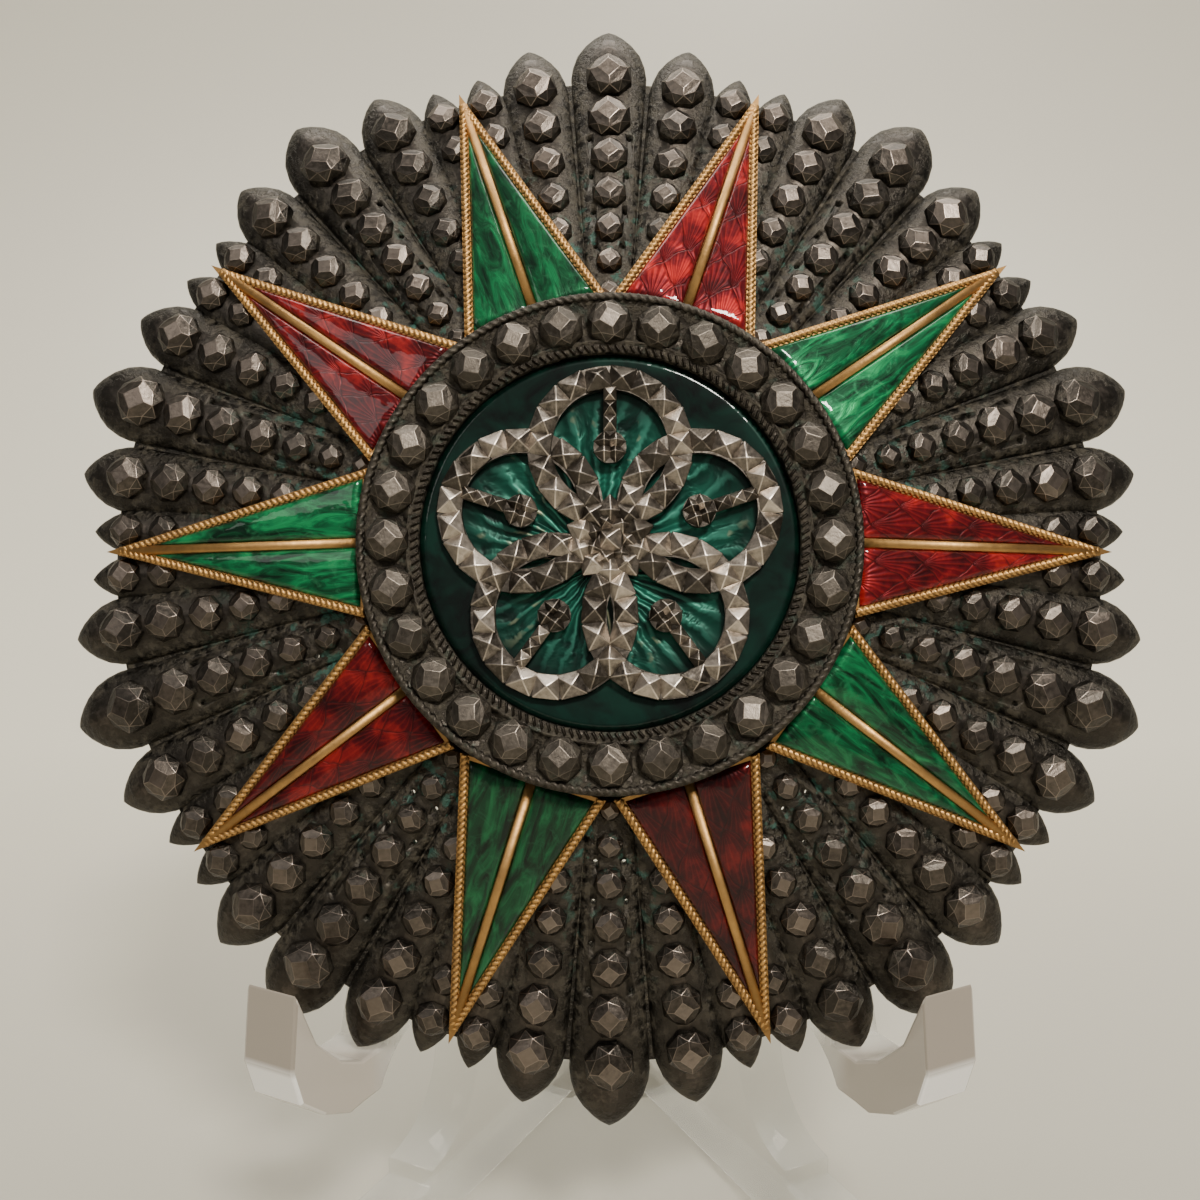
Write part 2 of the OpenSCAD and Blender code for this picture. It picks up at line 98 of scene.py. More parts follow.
# Centre
RING_R, OPENING_R = 17.8, 13.4
RING_LOW, FLANGE_LOW, FLANGE_TOP, RIM_TOP = 7.7, 8.69, 9.39, 9.84
RING_BEADS = 28
RING_BEAD_D, RING_BEAD_RISE, RING_BEAD_TURN, RING_BEAD_TONES = 3.05, 0.96, 5, (0.65, 1.1)
RIM_CORD_R, RIM_CORD_PITCH, RIM_CORD_WEAR = 0.34, 0.6, 0.28
TEETH, TOOTH_SLANT = 160, -58
DISC_LOW, DISC_TOP, DISC_R, DISC_DISH = 7.7, 9.0, 13.34, 0.5
DISC_RIM, DISC_STEPS, DISC_THIN = 0.5, 12, 0.38
ORNAMENT_LOW, BAND_T = 9.06, 0.55
ORNAMENT_TOP = 10.36
LOOPS = 5
LOOP_STEP = 72.0
BAND_W = 1.7
LOOP_R = (12.4 - BAND_W / 2) * 0.43
LOOP_CENTRE_R = 12.4 - BAND_W / 2 - LOOP_R
LOOP_STUDS = 18
STUD_LEAN, STUD_RISES, STUD_TONES = 6, (0.85, 1.1), (0.5, 1.35)
BAND_WEAR, POST_WEAR = 0.3, 0.1
POST_R, POST_SINK = 0.45, 0.3
BUD_R, STEM_W, STEM_STUDS = 1.16, 0.84, (1.7, 2.8, 3.8)
BOSS_R, BOSS_STUDS, BOSS_CLEAR_R = 1.87, 7, 1.9

# Easing of the easel's and the pin's edges, and their wear
EASEL_EASE, PIN_EASE, EASED_WEAR = 0.22, 0.08, 0.3

# Photograph: a 1200 pixel frame, its focal length in pixels and where the star's origin shows
FRAME_PX = 1200
FOCAL_PX = 1250
STAR_PX = (609, 557)
CAMERA_ELEVATION = math.radians(8.6)
CAMERA_DISTANCE = 96.9
SENSOR_W = 36

# The star's frame in the row frame, from the enamel disc, which is a lathe on the star's axis
AXIS_X = Vector((1, 0, 0))
AXIS_Y = Vector((0, math.sin(LEAN), math.cos(LEAN)))
AXIS_Z = Vector((0, -math.cos(LEAN), math.sin(LEAN)))
disc_low, disc_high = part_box("centre_enamel")
STAR_ORIGIN = (disc_low + disc_high) / 2 - AXIS_Z * (DISC_LOW + DISC_TOP) / 2 * MM
STAR_AXES = np.array([AXIS_X, AXIS_Y, AXIS_Z])


def to_world(points):
    """Points in the star's frame, in millimetres, as metres in the row frame."""
    return np.array(STAR_ORIGIN) + np.asarray(points, float) @ STAR_AXES * MM


def moved(points, matrix):
    m = np.array(matrix)
    return np.asarray(points, float) @ m[:3, :3].T + m[:3, 3]


def turn_z(degrees):
    return Matrix.Rotation(math.radians(degrees), 4, "Z")


def shift(x, y, z):
    return Matrix.Translation((x, y, z))


def on_slope(degrees):
    """From a strip of the dome's slope, x = 0 at the rim and the centre along -X, to the star's frame."""
    return turn_z(degrees) @ shift(STAR_R, 0, 0) @ Matrix.Rotation(DOME, 4, "Y")


def slope_x(r):
    return (r - STAR_R) / math.cos(DOME)


def cone_z(r):
    return (STAR_R - r) * math.tan(DOME)


class Piece:
    """Collects points and faces in the star's frame, then becomes one object on the root body."""

    def __init__(self):
        self.points = []
        self.faces = []
        self.smooth = []
        self.wear_and_light = []
        self.local = []
        self.count = 0

    def add(self, points, faces, wear_and_light=0.0, smooth=True, matrix=None, local=None):
        """The wear and painted light of each face and whether it is smooth are one value or one for each
        face, and local is where the pattern is read.
        """
        points = np.asarray(points, float)
        placed = points if matrix is None else moved(points, matrix)
        self.points.append(placed)
        self.local.append(placed if local is None else np.asarray(local, float))
        self.faces += [[i + self.count for i in f] for f in faces]
        self.smooth += list(smooth) if hasattr(smooth, "__len__") else [smooth] * len(faces)
        self.wear_and_light += list(wear_and_light) if hasattr(wear_and_light, "__len__") else [wear_and_light] * len(faces)
        self.count += len(points)

    def add_shape(self, shape, tone, matrix):
        """Adds a faceted shape, with the wear and painted light of its faces times tone."""
        points, faces, wear_and_light, smooth = shape
        self.add(points, faces, [w * tone for w in wear_and_light], smooth, matrix)

    def build(self, name, material, slot, *replaced):
        mesh = bpy.data.meshes.new(name)
        mesh.from_pydata(to_world(np.concatenate(self.points)), [], self.faces)
        mesh.polygons.foreach_set("use_smooth", self.smooth)
        # A value for each face that holds both wear and painted light, read by the materials
        wear_and_light = mesh.attributes.new("wear_and_light", "FLOAT", "FACE")
        wear_and_light.data.foreach_set("value", np.array(self.wear_and_light, np.float32))
        local = mesh.attributes.new("local", "FLOAT_VECTOR", "POINT")
        local.data.foreach_set("vector", np.concatenate(self.local).astype(np.float32).ravel())
        mesh.materials.append(material)
        mesh.update()
        return place(bpy.data.objects.new(name, mesh), slot, *replaced)


def place(obj, slot, *replaced):
    """Puts an object on the root body and hides the nodes that it replaces; slot is not used."""
    if not obj.users_collection:
        bpy.context.scene.collection.objects.link(obj)
    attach(obj, "root")
    if replaced:
        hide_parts(*replaced)
    return obj


# Node helpers
class Shader:
    """A material's node tree, with short calls for the nodes used here."""

    def __init__(self, name):
        self.material = bpy.data.materials.new(name)
        self.material.use_nodes = True
        self.tree = self.material.node_tree
        self.out = self.tree.nodes["Principled BSDF"]

    def node(self, kind, **settings):
        n = self.tree.nodes.new(kind)
        for key, value in settings.items():
            setattr(n, key, value)
        return n

    def link(self, source, target):
        if isinstance(source, (int, float, tuple)):
            target.default_value = source
        else:
            self.tree.links.new(source, target)

    def attribute(self, name, output="Fac"):
        return self.node("ShaderNodeAttribute", attribute_name=name).outputs[output]

    def math(self, operation, a, b=0.5, clamp=False):
        n = self.node("ShaderNodeMath", operation=operation, use_clamp=clamp)
        self.link(a, n.inputs[0])
        self.link(b, n.inputs[1])
        return n.outputs[0]

    def plus(self, a, b, clamp=False):
        return self.math("ADD", a, b, clamp)

    def minus(self, a, b):
        return self.math("SUBTRACT", a, b)

    def times(self, a, b):
        return self.math("MULTIPLY", a, b)

    def vector(self, operation, a, b=(0.0, 0.0, 0.0), output="Vector"):
        n = self.node("ShaderNodeVectorMath", operation=operation)
        self.link(a, n.inputs[0])
        self.link(b, n.inputs[1])
        return n.outputs[output]

    def noise(self, vector, scale, detail=3.0, rough=0.55, distort=0.0):
        n = self.node("ShaderNodeTexNoise")
        self.link(vector, n.inputs["Vector"])
        n.inputs["Scale"].default_value = scale
        n.inputs["Detail"].default_value = detail
        n.inputs["Roughness"].default_value = rough
        n.inputs["Distortion"].default_value = distort
        return n.outputs["Fac"]

    def ramp(self, factor, *stops):
        n = self.node("ShaderNodeValToRGB")
        self.link(factor, n.inputs["Fac"])
        elements = n.color_ramp.elements
        while len(elements) < len(stops):
            elements.new(1.0)
        for element, (position, colour) in zip(elements, stops):
            element.position = position
            element.color = (*colour, 1.0) if isinstance(colour, tuple) else (colour, colour, colour, 1.0)
        return n.outputs["Color"]

    def mix(self, factor, a, b):
        n = self.node("ShaderNodeMix", data_type="RGBA")
        self.link(factor, n.inputs["Factor"])
        for value, socket in ((a, n.inputs[6]), (b, n.inputs[7])):
            self.link((*value, 1.0) if isinstance(value, tuple) else value, socket)
        return n.outputs[2]

    def bump(self, height, distance, strength):
        n = self.node("ShaderNodeBump")
        self.link(height, n.inputs["Height"])
        n.inputs["Distance"].default_value = distance
        n.inputs["Strength"].default_value = strength
        return n.outputs["Normal"]

    def separate(self, vector):
        n = self.node("ShaderNodeSeparateXYZ")
        self.link(vector, n.inputs[0])
        return n.outputs

    def set(self, **values):
        for key, value in values.items():
            socket = self.out.inputs[key.replace("_", " ")]
            self.link((*value, 1.0) if isinstance(value, tuple) and len(value) == 3 else value, socket)


def blend(a, b, share):
    """A colour between a and b, with that share of b."""
    return tuple((1 - share) * p + share * q for p, q in zip(a, b))


def star_radius(s, local):
    """Distance from the star's axis."""
    return s.vector("LENGTH", s.vector("MULTIPLY", local, (1.0, 1.0, 0.0)), output="Value")


DIRT, VERDIGRIS = (0.095, 0.08, 0.053), (0.035, 0.15, 0.115)
# Silver of the rays, of the ring and of the ornament and pin
# columns: patina, bare silver, share of verdigris, least roughness, height of the unevenness in metres
SILVERS = {
    "dark_silver": ((0.035, 0.032, 0.0275), (0.282, 0.23, 0.19), 1.0, 0.17, 0.00005),
    "ring_silver": ((0.046, 0.04, 0.033), (0.26, 0.222, 0.182), 0.15, 0.24, 0.00006),
    "pewter": ((0.022, 0.018, 0.014), (0.86, 0.75, 0.63), 0.0, 0.19, 0.00003),
}


def dark_silver(name, patina, silver, verdigris, rough_from, uneven):
    """Oxidised silver: dark in the valleys, brighter where the attribute says, which holds both wear and
    painted light, with some dirt.
    """
    s = Shader(name)
    local = s.attribute("local", "Vector")
    wear_and_light = s.attribute("wear_and_light")
    patches = s.noise(local, 0.35, 4.0)
    grain = s.noise(local, 2.6, 4.0, 0.6)
    # Wear and painted light from the attribute, painted highlights on tops and painted shade below, broken
    # by patches and grain
    rub_and_light = s.plus(wear_and_light, s.times(s.minus(patches, 0.5), 0.3))
    rub_and_light = s.plus(rub_and_light, s.times(s.minus(grain, 0.5), 0.4), clamp=True)
    metal = s.ramp(rub_and_light, (0.0, patina), (0.3, blend(patina, silver, 0.08)),
                   (0.6, blend(patina, silver, 0.58)), (1.0, silver))
    # Dirt and verdigris lie where the wear is low, and most of them near the centre
    low = s.ramp(s.plus(wear_and_light, 0.5), (0.15, 1.0), (0.5, 0.7), (0.74, 0.3), (0.8, 0.0))
    out = s.math("DIVIDE", star_radius(s, local), STAR_R)
    inner = s.ramp(out, (0.45, 1.0), (0.95, 0.0))
    near = s.ramp(out, (0.45, 1.0), (0.78, 0.0))
    crumbs = s.ramp(s.noise(local, 1.6, 5.0, 0.65), (0.42, 0.0), (0.6, 1.0))
    film = s.ramp(s.plus(patches, s.times(inner, 0.22)), (0.44, 0.15), (0.6, 1.0))
    dirt = s.times(s.times(s.times(crumbs, film), low), 0.85)
    spots = s.noise(s.vector("ADD", local, (31.0, 7.0, 0.0)), 0.8, 4.0, 0.6)
    green = s.times(s.ramp(spots, (0.56, 0.0), (0.62, 1.0)), low)
    green = s.times(green, s.times(near, verdigris))
    colour = s.mix(green, s.mix(dirt, metal, DIRT), VERDIGRIS)
    cover = s.math("MAXIMUM", dirt, green)
    dull = s.times(s.minus(1.0, rub_and_light), 0.08)
    rough = s.plus(s.plus(s.times(grain, 0.25), dull), rough_from)
    scratches = s.noise(s.vector("MULTIPLY", local, (9.0, 3.0, 9.0)), 1.6, 3.0, 0.7)
    height = s.plus(s.times(grain, 0.7), s.times(scratches, 0.3))
    height = s.plus(height, s.times(crumbs, s.times(low, 2.5)))
    s.set(Base_Color=colour, Metallic=s.minus(1.0, s.times(cover, 0.9)),
          Roughness=s.plus(rough, s.times(cover, 0.4), clamp=True), Normal=s.bump(height, uneven, 0.7))
    return s.material


def gold_metal():
    """Gilt metal, tarnished in patches and darker where the attribute is low: less wear, and painted shade
    in the grooves of the cords.
    """
    s = Shader("gold")
    local = s.attribute("local", "Vector")
    wear_and_light = s.attribute("wear_and_light")
    tarnish = s.noise(local, 0.5, 4.0, 0.6)
    grain = s.noise(local, 3.5, 3.0, 0.6)
    gold = s.mix(s.ramp(tarnish, (0.38, 0.0), (0.7, 1.0)), (0.66, 0.38, 0.13), (0.42, 0.24, 0.09))
    # Darker where the attribute is low: less wear, and painted shade in the cords' grooves
    gold = s.mix(s.ramp(wear_and_light, (0.1, 0.75), (0.75, 0.0)), gold, (0.14, 0.075, 0.03))
    s.set(Base_Color=gold, Metallic=1.0, Roughness=s.plus(s.times(grain, 0.25), 0.34),
          Normal=s.bump(grain, 0.00004, 0.5))
    return s.material


def glassy(s, colour, engraving, depth):
    """Translucent enamel: a tinted, engraved metal ground under a smooth wavy coat of glass.
    The attribute read here mixes a shaded and a lit copy of the colour: painted light, each point with its
    own brightness, and one even tone on the disc."""
    local = s.attribute("local", "Vector")
    # A shaded and a lit copy of the enamel colour, mixed by the attribute as painted light
    shaded_copy = s.vector("MULTIPLY", colour, (0.45, 0.45, 0.45))
    colour = s.mix(s.attribute("wear_and_light"), shaded_copy, s.vector("MULTIPLY", colour, (1.9, 1.9, 1.9)))
    waves = s.noise(local, 0.55, 2.0, 0.4)
    s.set(Base_Color=colour, Metallic=0.3, Roughness=0.36, Specular_IOR_Level=0.1,
          Normal=s.bump(engraving, depth, 0.8), Coat_Weight=1.0, Coat_Roughness=0.03, Coat_IOR=1.35,
          Coat_Normal=s.bump(waves, 0.0003, 0.22))
    return s.material


def red_enamel():
    """Red over an engraved lattice of scales, each filled with a fan of fine lines."""
    s = Shader("red_enamel")
    local = s.attribute("local", "Vector")
    drift = s.times(s.noise(local, 0.3, 2.0), 3.0)
    x, y, _ = s.separate(local)
    lean = s.times(y, 1.35)
    along = s.plus(s.plus(x, drift), 200.0)
    first = s.math("FRACT", s.math("DIVIDE", s.plus(along, lean), 3.6))
    second = s.math("FRACT", s.math("DIVIDE", s.minus(along, lean), 3.6))
    lines = s.math("MINIMUM", s.math("ABSOLUTE", s.minus(first, 0.5)),
                   s.math("ABSOLUTE", s.minus(second, 0.5)))
    edge = s.ramp(lines, (0.0, 1.0), (0.035, 0.25), (0.09, 0.0))
    turn = s.math("ARCTAN2", s.math("FRACT", s.plus(first, 0.5)), s.math("FRACT", s.plus(second, 0.5)))
    fan = s.math("SINE", s.times(turn, 26.0))
    wander = s.noise(local, 0.4, 4.0, 0.6)
    bright = s.ramp(wander, (0.36, (0.02, 0.0005, 0.0015)), (0.52, (0.068, 0.0013, 0.0035)),
                    (0.68, (0.22, 0.009, 0.008)))
    colour = s.mix(s.times(s.ramp(fan, (0.2, 0.0), (1.0, 0.25)), wander), bright,
                   (0.4, 0.028, 0.015))
    colour = s.mix(s.times(edge, 0.6), colour, (0.014, 0.0005, 0.0015))
    height = s.plus(s.times(fan, 0.15), s.times(edge, -0.6))
    return glassy(s, colour, height, 0.0001)


def green_enamel():
    """Green with dark streaks along the point and pale milky swirls."""
    s = Shader("green_enamel")
    local = s.attribute("local", "Vector")
    streaks = s.noise(s.vector("MULTIPLY", local, (0.35, 1.3, 1.0)), 0.75, 5.0, 0.6, 1.2)
    swirls = s.noise(s.vector("ADD", local, (9.0, 4.0, 0.0)), 0.5, 3.0, 0.6, 2.5)
    colour = s.ramp(streaks, (0.36, (0.0003, 0.01, 0.004)), (0.5, (0.0015, 0.052, 0.018)),
                    (0.66, (0.007, 0.15, 0.048)))
    colour = s.mix(s.ramp(swirls, (0.57, 0.0), (0.72, 0.3)), colour, (0.03, 0.18, 0.08))
    return glassy(s, colour, streaks, 0.00012)


def centre_green():
    """Blue-green over a ground of rays, paler and streaked with bare metal near the middle, and darkened
    toward the rim as painted shade of the ring's wall.
    """
    s = Shader("centre_green")
    local = s.attribute("local", "Vector")
    wander = s.noise(local, 0.32, 3.0, 0.55, 0.8)
    x, y, _ = s.separate(s.vector("ADD", local, (0.9, 1.6, 0.0)))
    angle = s.math("ARCTAN2", y, x)
    fold = s.math("SINE", s.plus(s.times(angle, 38.0), s.times(wander, 9.0)))
    middle = s.ramp(s.math("DIVIDE", star_radius(s, local), DISC_R), (0.25, 1.0), (0.8, 0.0))
    rim_shade = s.ramp(wander, (0.35, (0.0002, 0.002, 0.0015)), (0.66, (0.0015, 0.02, 0.013)))
    light = s.ramp(wander, (0.35, (0.002, 0.035, 0.024)), (0.62, (0.012, 0.15, 0.095)))
    # Darker toward the rim: painted shade of the ring's wall
    colour = s.mix(middle, rim_shade, light)
    ridge = s.times(s.ramp(fold, (0.35, 0.0), (0.95, 1.0)), middle)
    colour = s.mix(s.times(ridge, 0.45), colour, (0.12, 0.5, 0.36))
    foil = s.noise(s.vector("ADD", local, (50.0, 20.0, 0.0)), 0.38, 3.0, 0.6)
    bare = s.times(s.ramp(foil, (0.58, 0.0), (0.64, 0.75)), ridge)
    colour = s.mix(bare, colour, (0.5, 0.38, 0.22))
    return glassy(s, colour, s.times(fold, middle), 0.0002)


def clear_acrylic():
    """Clear, with frosted narrow edges, and milky at each hook in front, with painted light on a hook's
    front faces and painted shade above the lip.
    """
    s = Shader("clear_acrylic")
    place_in = s.node("ShaderNodeTexCoord").outputs["Object"]
    haze = s.noise(place_in, 220.0, 4.0, 0.6)
    # Height is 1 at 50 mm above the table, and forward is 1 at 33 mm in front of the middle
    height = s.times(s.separate(place_in)[2], 20.0)
    forward = s.times(s.separate(place_in)[1], -30.0)
    normal_x, normal_y, _ = s.separate(s.node("ShaderNodeNewGeometry").outputs["Normal"])
    front = s.ramp(s.times(normal_y, -1.0), (0.55, 0.0), (0.75, 1.0))
    edge = s.ramp(s.math("ABSOLUTE", normal_x), (0.5, 1.0), (0.8, 0.0))
    lip = s.ramp(height, (0.445, 0.0), (0.46, 1.0))
    raised = s.ramp(height, (0.14, 0.0), (0.22, 1.0))
    milky = s.times(raised, s.ramp(forward, (0.36, 0.0), (0.5, 1.0)))
    behind = s.ramp(front, (0.0, 1.0), (1.0, 0.35))
    frost = s.times(s.times(edge, s.minus(1.0, milky)), behind)
    # The front faces of each hook are painted pale as painted light, and darker above the lip's height as
    # painted shade, and its other faces are a darker beige
    face = s.mix(lip, (0.99, 0.97, 0.92), (0.32, 0.28, 0.23))
    hook_light_and_shade = s.mix(front, (0.55, 0.5, 0.43), face)
    clear = s.mix(edge, (0.95, 0.965, 0.95), (0.9, 0.91, 0.88))
    cover = s.plus(milky, s.times(frost, 0.2), clamp=True)
    s.set(Base_Color=s.mix(milky, clear, hook_light_and_shade), IOR=1.06,
          Transmission_Weight=s.minus(0.98, s.times(cover, 0.95)),
          Roughness=s.plus(s.times(haze, 0.06), s.times(cover, 0.22)),
          Alpha=s.plus(0.4, s.times(cover, 0.6)),
          Coat_Weight=0.8, Coat_IOR=1.45, Coat_Roughness=0.04,
          Normal=s.bump(haze, 0.00002, 0.1))
    return s.material


def backdrop_paint():
    """Pale warm grey, with painted shade: darker on the near floor and a little darker up the wall."""
    s = Shader("backdrop_paint")
    place_in = s.node("ShaderNodeTexCoord").outputs["Object"]
    cloud = s.noise(place_in, 4.0, 3.0, 0.5)
    # Far is full 0.14 m behind the middle, and high is full 0.2 m above the floor
    _, y, z = s.separate(place_in)
    far = s.ramp(s.times(y, 5.0), (0.0, 0.0), (0.7, 1.0))
    high = s.ramp(s.times(z, 4.0), (0.1, 0.0), (0.8, 1.0))
    # Painted shade: darker on the near floor and toward the top of the wall
    shade = s.mix(high, s.mix(far, (0.43, 0.41, 0.345), (0.7, 0.662, 0.548)), (0.575, 0.545, 0.457))
    s.set(Base_Color=s.mix(s.times(cloud, 0.2), shade, (0.45, 0.42, 0.35)),
          Roughness=s.plus(s.times(cloud, 0.12), 0.3))
    return s.material


# Shapes used again and again
# Wear of the edges low down and near the top of a faceted shape, which also paints a highlight on the
# edges that grows toward the top
LOW_EDGE_WEAR_AND_LIGHT, TOP_EDGE_WEAR_AND_LIGHT = 0.24, 0.74


def faceted(points, faces, bright, bevel):
    """A bevelled solid of flat facets: its points, its faces, their wear and painted light and which are
    smooth.
    bright gives the wear and painted light of each face before the bevel, and the bevel's strips carry a
    painted highlight, brighter higher up."""
    bm = bmesh.new()
    verts = [bm.verts.new(p) for p in points]
    key = bm.faces.layers.float.new("wear_and_light")
    for f, b in zip(faces, bright):
        bm.faces.new([verts[i] for i in f])[key] = b
    bmesh.ops.recalc_face_normals(bm, faces=bm.faces)
    sharp = [e for e in bm.edges if any(f[key] > 0 for f in e.link_faces)]
    made = bmesh.ops.bevel(bm, geom=sharp, offset=bevel, segments=1, affect="EDGES", profile=0.5)
    strips = set(made["faces"])
    for f in strips:
        # Painted highlight on the bevelled edges, brighter the higher they stand, on top of their wear
        height = min(1.0, max(0.0, 1.6 * f.calc_center_median().z))
        f[key] = LOW_EDGE_WEAR_AND_LIGHT + (TOP_EDGE_WEAR_AND_LIGHT - LOW_EDGE_WEAR_AND_LIGHT) * height
    out = (np.array([tuple(v.co) for v in bm.verts]), [[v.index for v in f.verts] for f in bm.faces],
           [f[key] for f in bm.faces], [f in strips for f in bm.faces])
    bm.free()
    return out


def circle(radius, z, sides, start=0.0):
    """Corners of a regular loop about the Z axis, from the angle start."""
    angles = [start + i * math.tau / sides for i in range(sides)]
    return [(radius * math.cos(a), radius * math.sin(a), z) for a in angles]


def closed_prism(low, high):
    """Points and faces of a closed prism between two loops of as many points."""
    n = len(low)
    faces = [[k, (k + 1) % n, n + (k + 1) % n, n + k] for k in range(n)]
    return low + high, faces + [list(range(n))[::-1], [n + k for k in range(n)]]


def wobble(draw, lean, turn):
    """A small random tilt about both axes and a random turn, from spreads in degrees."""
    lean_x = Matrix.Rotation(math.radians(draw.gauss(0, lean)), 4, "X")
    lean_y = Matrix.Rotation(math.radians(draw.gauss(0, lean)), 4, "Y")
    return lean_x @ lean_y @ turn_z(draw.gauss(0, turn))


# Wear of a bead's facets before its tone, which also paints light: a highlight on the table and crown,
# shade on the lower facets and the waist
TABLE_WEAR_AND_LIGHT, CROWN_WEAR_AND_LIGHT, LOWER_WEAR_AND_SHADE, WAIST_WEAR_AND_SHADE = 0.54, 0.38, 0.22, 0.05
BEAD_BEVEL, STUD_BEVEL, TOOTH_BEVEL = 0.012, 0.036, 0.02


def bead_shape():
    """A bead of width 1 and height 1: a square table, four crown facets and sixteen lower ones."""
    table = circle(0.25, 1.0, 4)
    crown = []
    for corner, side in zip(circle(0.42, 0.78, 4), circle(0.39, 0.64, 4, math.pi / 4)):
        crown += [corner, side]
    girdle = circle(0.53, 0.2, 8, math.pi / 8)
    waist = circle(0.54, -0.15, 8, math.pi / 8)
    base = circle(0.5, -0.8, 8, math.pi / 8)
    points = table + crown + girdle + waist + base
    faces, bright = [[0, 1, 2, 3]], [TABLE_WEAR_AND_LIGHT]
    for i in range(4):
        faces.append([i, 4 + 2 * i, 5 + 2 * i, 4 + (2 * i + 2) % 8, (i + 1) % 4])
        bright.append(CROWN_WEAR_AND_LIGHT)
    for i in range(8):
        j, before = (i + 1) % 8, (i + 7) % 8
        faces += [[4 + i, 12 + before, 12 + i], [4 + i, 12 + i, 4 + j], [12 + i, 20 + i, 20 + j, 12 + j],
                  [20 + i, 28 + i, 28 + j, 20 + j]]
        bright += [LOWER_WEAR_AND_SHADE, LOWER_WEAR_AND_SHADE, WAIST_WEAR_AND_SHADE, 0.0]
    faces.append([28 + i for i in range(8)][::-1])
    return faceted(points, faces, bright + [0.0], BEAD_BEVEL)


def pyramid_shape():
    """A square pyramid of length, width and height 1, with edges worn and painted with a highlight,
    standing a little under z = 0.
    """
    points = [(-0.5, -0.5, 0), (0.5, -0.5, 0), (0.5, 0.5, 0), (-0.5, 0.5, 0), (0, 0, 1),
              (-0.5, -0.5, -0.3), (0.5, -0.5, -0.3), (0.5, 0.5, -0.3), (-0.5, 0.5, -0.3)]
    faces = [[0, 1, 4], [1, 2, 4], [2, 3, 4], [3, 0, 4],
             [0, 5, 6, 1], [1, 6, 7, 2], [2, 7, 8, 3], [3, 8, 5, 0], [5, 8, 7, 6]]
    return faceted(points, faces, [0.42] * 4 + [0.0] * 5, STUD_BEVEL)


def tooth_shape():
    """A small roof whose ridge is worn and painted with a highlight, a little higher at one end."""
    half_w, half_l, ridge = 0.13, 0.31, 0.28
    points = [(-half_w, -half_l, 0), (half_w, -half_l, 0), (half_w, half_l, 0), (-half_w, half_l, 0),
              (0, -ridge, 0.34), (0, ridge, 0.3)]
    faces = [[0, 1, 4], [1, 2, 5, 4], [2, 3, 5], [3, 0, 4, 5], [3, 2, 1, 0]]
    return faceted(points, faces, [0.36] * 4 + [0.0], TOOTH_BEVEL)


def lathe(piece, profile, sides, wear_and_light=0.0):
    """Turns a closed profile of (radius, height) about the star's axis."""
    count = len(profile)
    points = [(r * math.cos(a), r * math.sin(a), z)
              for a in (i * math.tau / sides for i in range(sides)) for r, z in profile]
    faces = [[i * count + k, ((i + 1) % sides) * count + k,
              ((i + 1) % sides) * count + (k + 1) % count, i * count + (k + 1) % count]
             for i in range(sides) for k in range(count)]
    piece.add(points, faces, wear_and_light)


def cord(piece, centres, outward, radius, pitch, wear_and_light, closed=False):
    """A twisted wire along centres: an oval section that turns half round in each pitch."""
    sides, steps = CORD_SIDES, CORD_STEPS
    centres = np.asarray(centres, float)
    outward = np.asarray(outward, float)
    ends = np.roll(centres, -1, 0) if closed else centres[1:]
    spans = np.linalg.norm(ends - centres[:len(ends)], axis=1)
    length = spans.sum()
    turns = max(1, round(length / pitch))
    rings = turns * steps + (0 if closed else 1)
    along = np.concatenate([[0.0], np.cumsum(spans)])
    route = np.vstack([centres, centres[:1]]) if closed else centres
    lifts = np.vstack([outward, outward[:1]]) if closed else outward
    places = np.linspace(0, length, rings, endpoint=not closed)
    path = np.stack([np.interp(places, along, route[:, i]) for i in range(3)], 1)
    up = np.stack([np.interp(places, along, lifts[:, i]) for i in range(3)], 1)
    ahead = np.roll(path, -1, 0) - np.roll(path, 1, 0) if closed else np.gradient(path, axis=0)
    ahead /= np.linalg.norm(ahead, axis=1)[:, None]
    side = np.cross(ahead, up)
    side /= np.linalg.norm(side, axis=1)[:, None]
    up = np.cross(side, ahead)
    points = []
    for i in range(rings):
        twist = math.pi * i / steps
        for k in range(sides):
            a = math.tau * k / sides
            r = radius * (0.78 + 0.22 * math.cos(2 * (a - twist)))
            points.append(path[i] + r * (math.cos(a) * up[i] + math.sin(a) * side[i]))
    last = rings if closed else rings - 1
    faces, shine = [], []
    for i in range(last):
        for k in range(sides):
            faces.append([i * sides + k, i * sides + (k + 1) % sides,
                          ((i + 1) % rings) * sides + (k + 1) % sides, ((i + 1) % rings) * sides + k])
            # The bulges of the wire come out brighter and the grooves darker: partly wear, partly painted
            # highlight and painted shade
            lobe = math.cos(2 * (math.tau * (k + 0.5) / sides - math.pi * (i + 0.5) / steps))
            shine.append(wear_and_light * (0.55 + 0.45 * lobe))
    if not closed:
        faces += [list(range(sides))[::-1], [(rings - 1) * sides + k for k in range(sides)]]
        shine += [0.0, 0.0]
    piece.add(points, faces, shine)


# Rays
def rim_share(r):
    """0 at the edge of the centre ring, and 1 at the rim of the star."""
    return (r - RING_R) / (STAR_R - RING_R)


def bead_width(share, r):
    return BEAD_D * share * (INNER_BEAD + (1 - INNER_BEAD) * rim_share(r))


def bead_radii(tip_r, share, setback, count):
    """Distances of a row of beads from the star's axis, closer together toward the ring."""
    radii = [tip_r - setback]
    for _ in range(count - 1):
        r = radii[-1]
        radii.append(r - BEAD_PITCH * (1 + share) / 2 * (INNER_PITCH + (1 - INNER_PITCH) * rim_share(r)))
    return radii


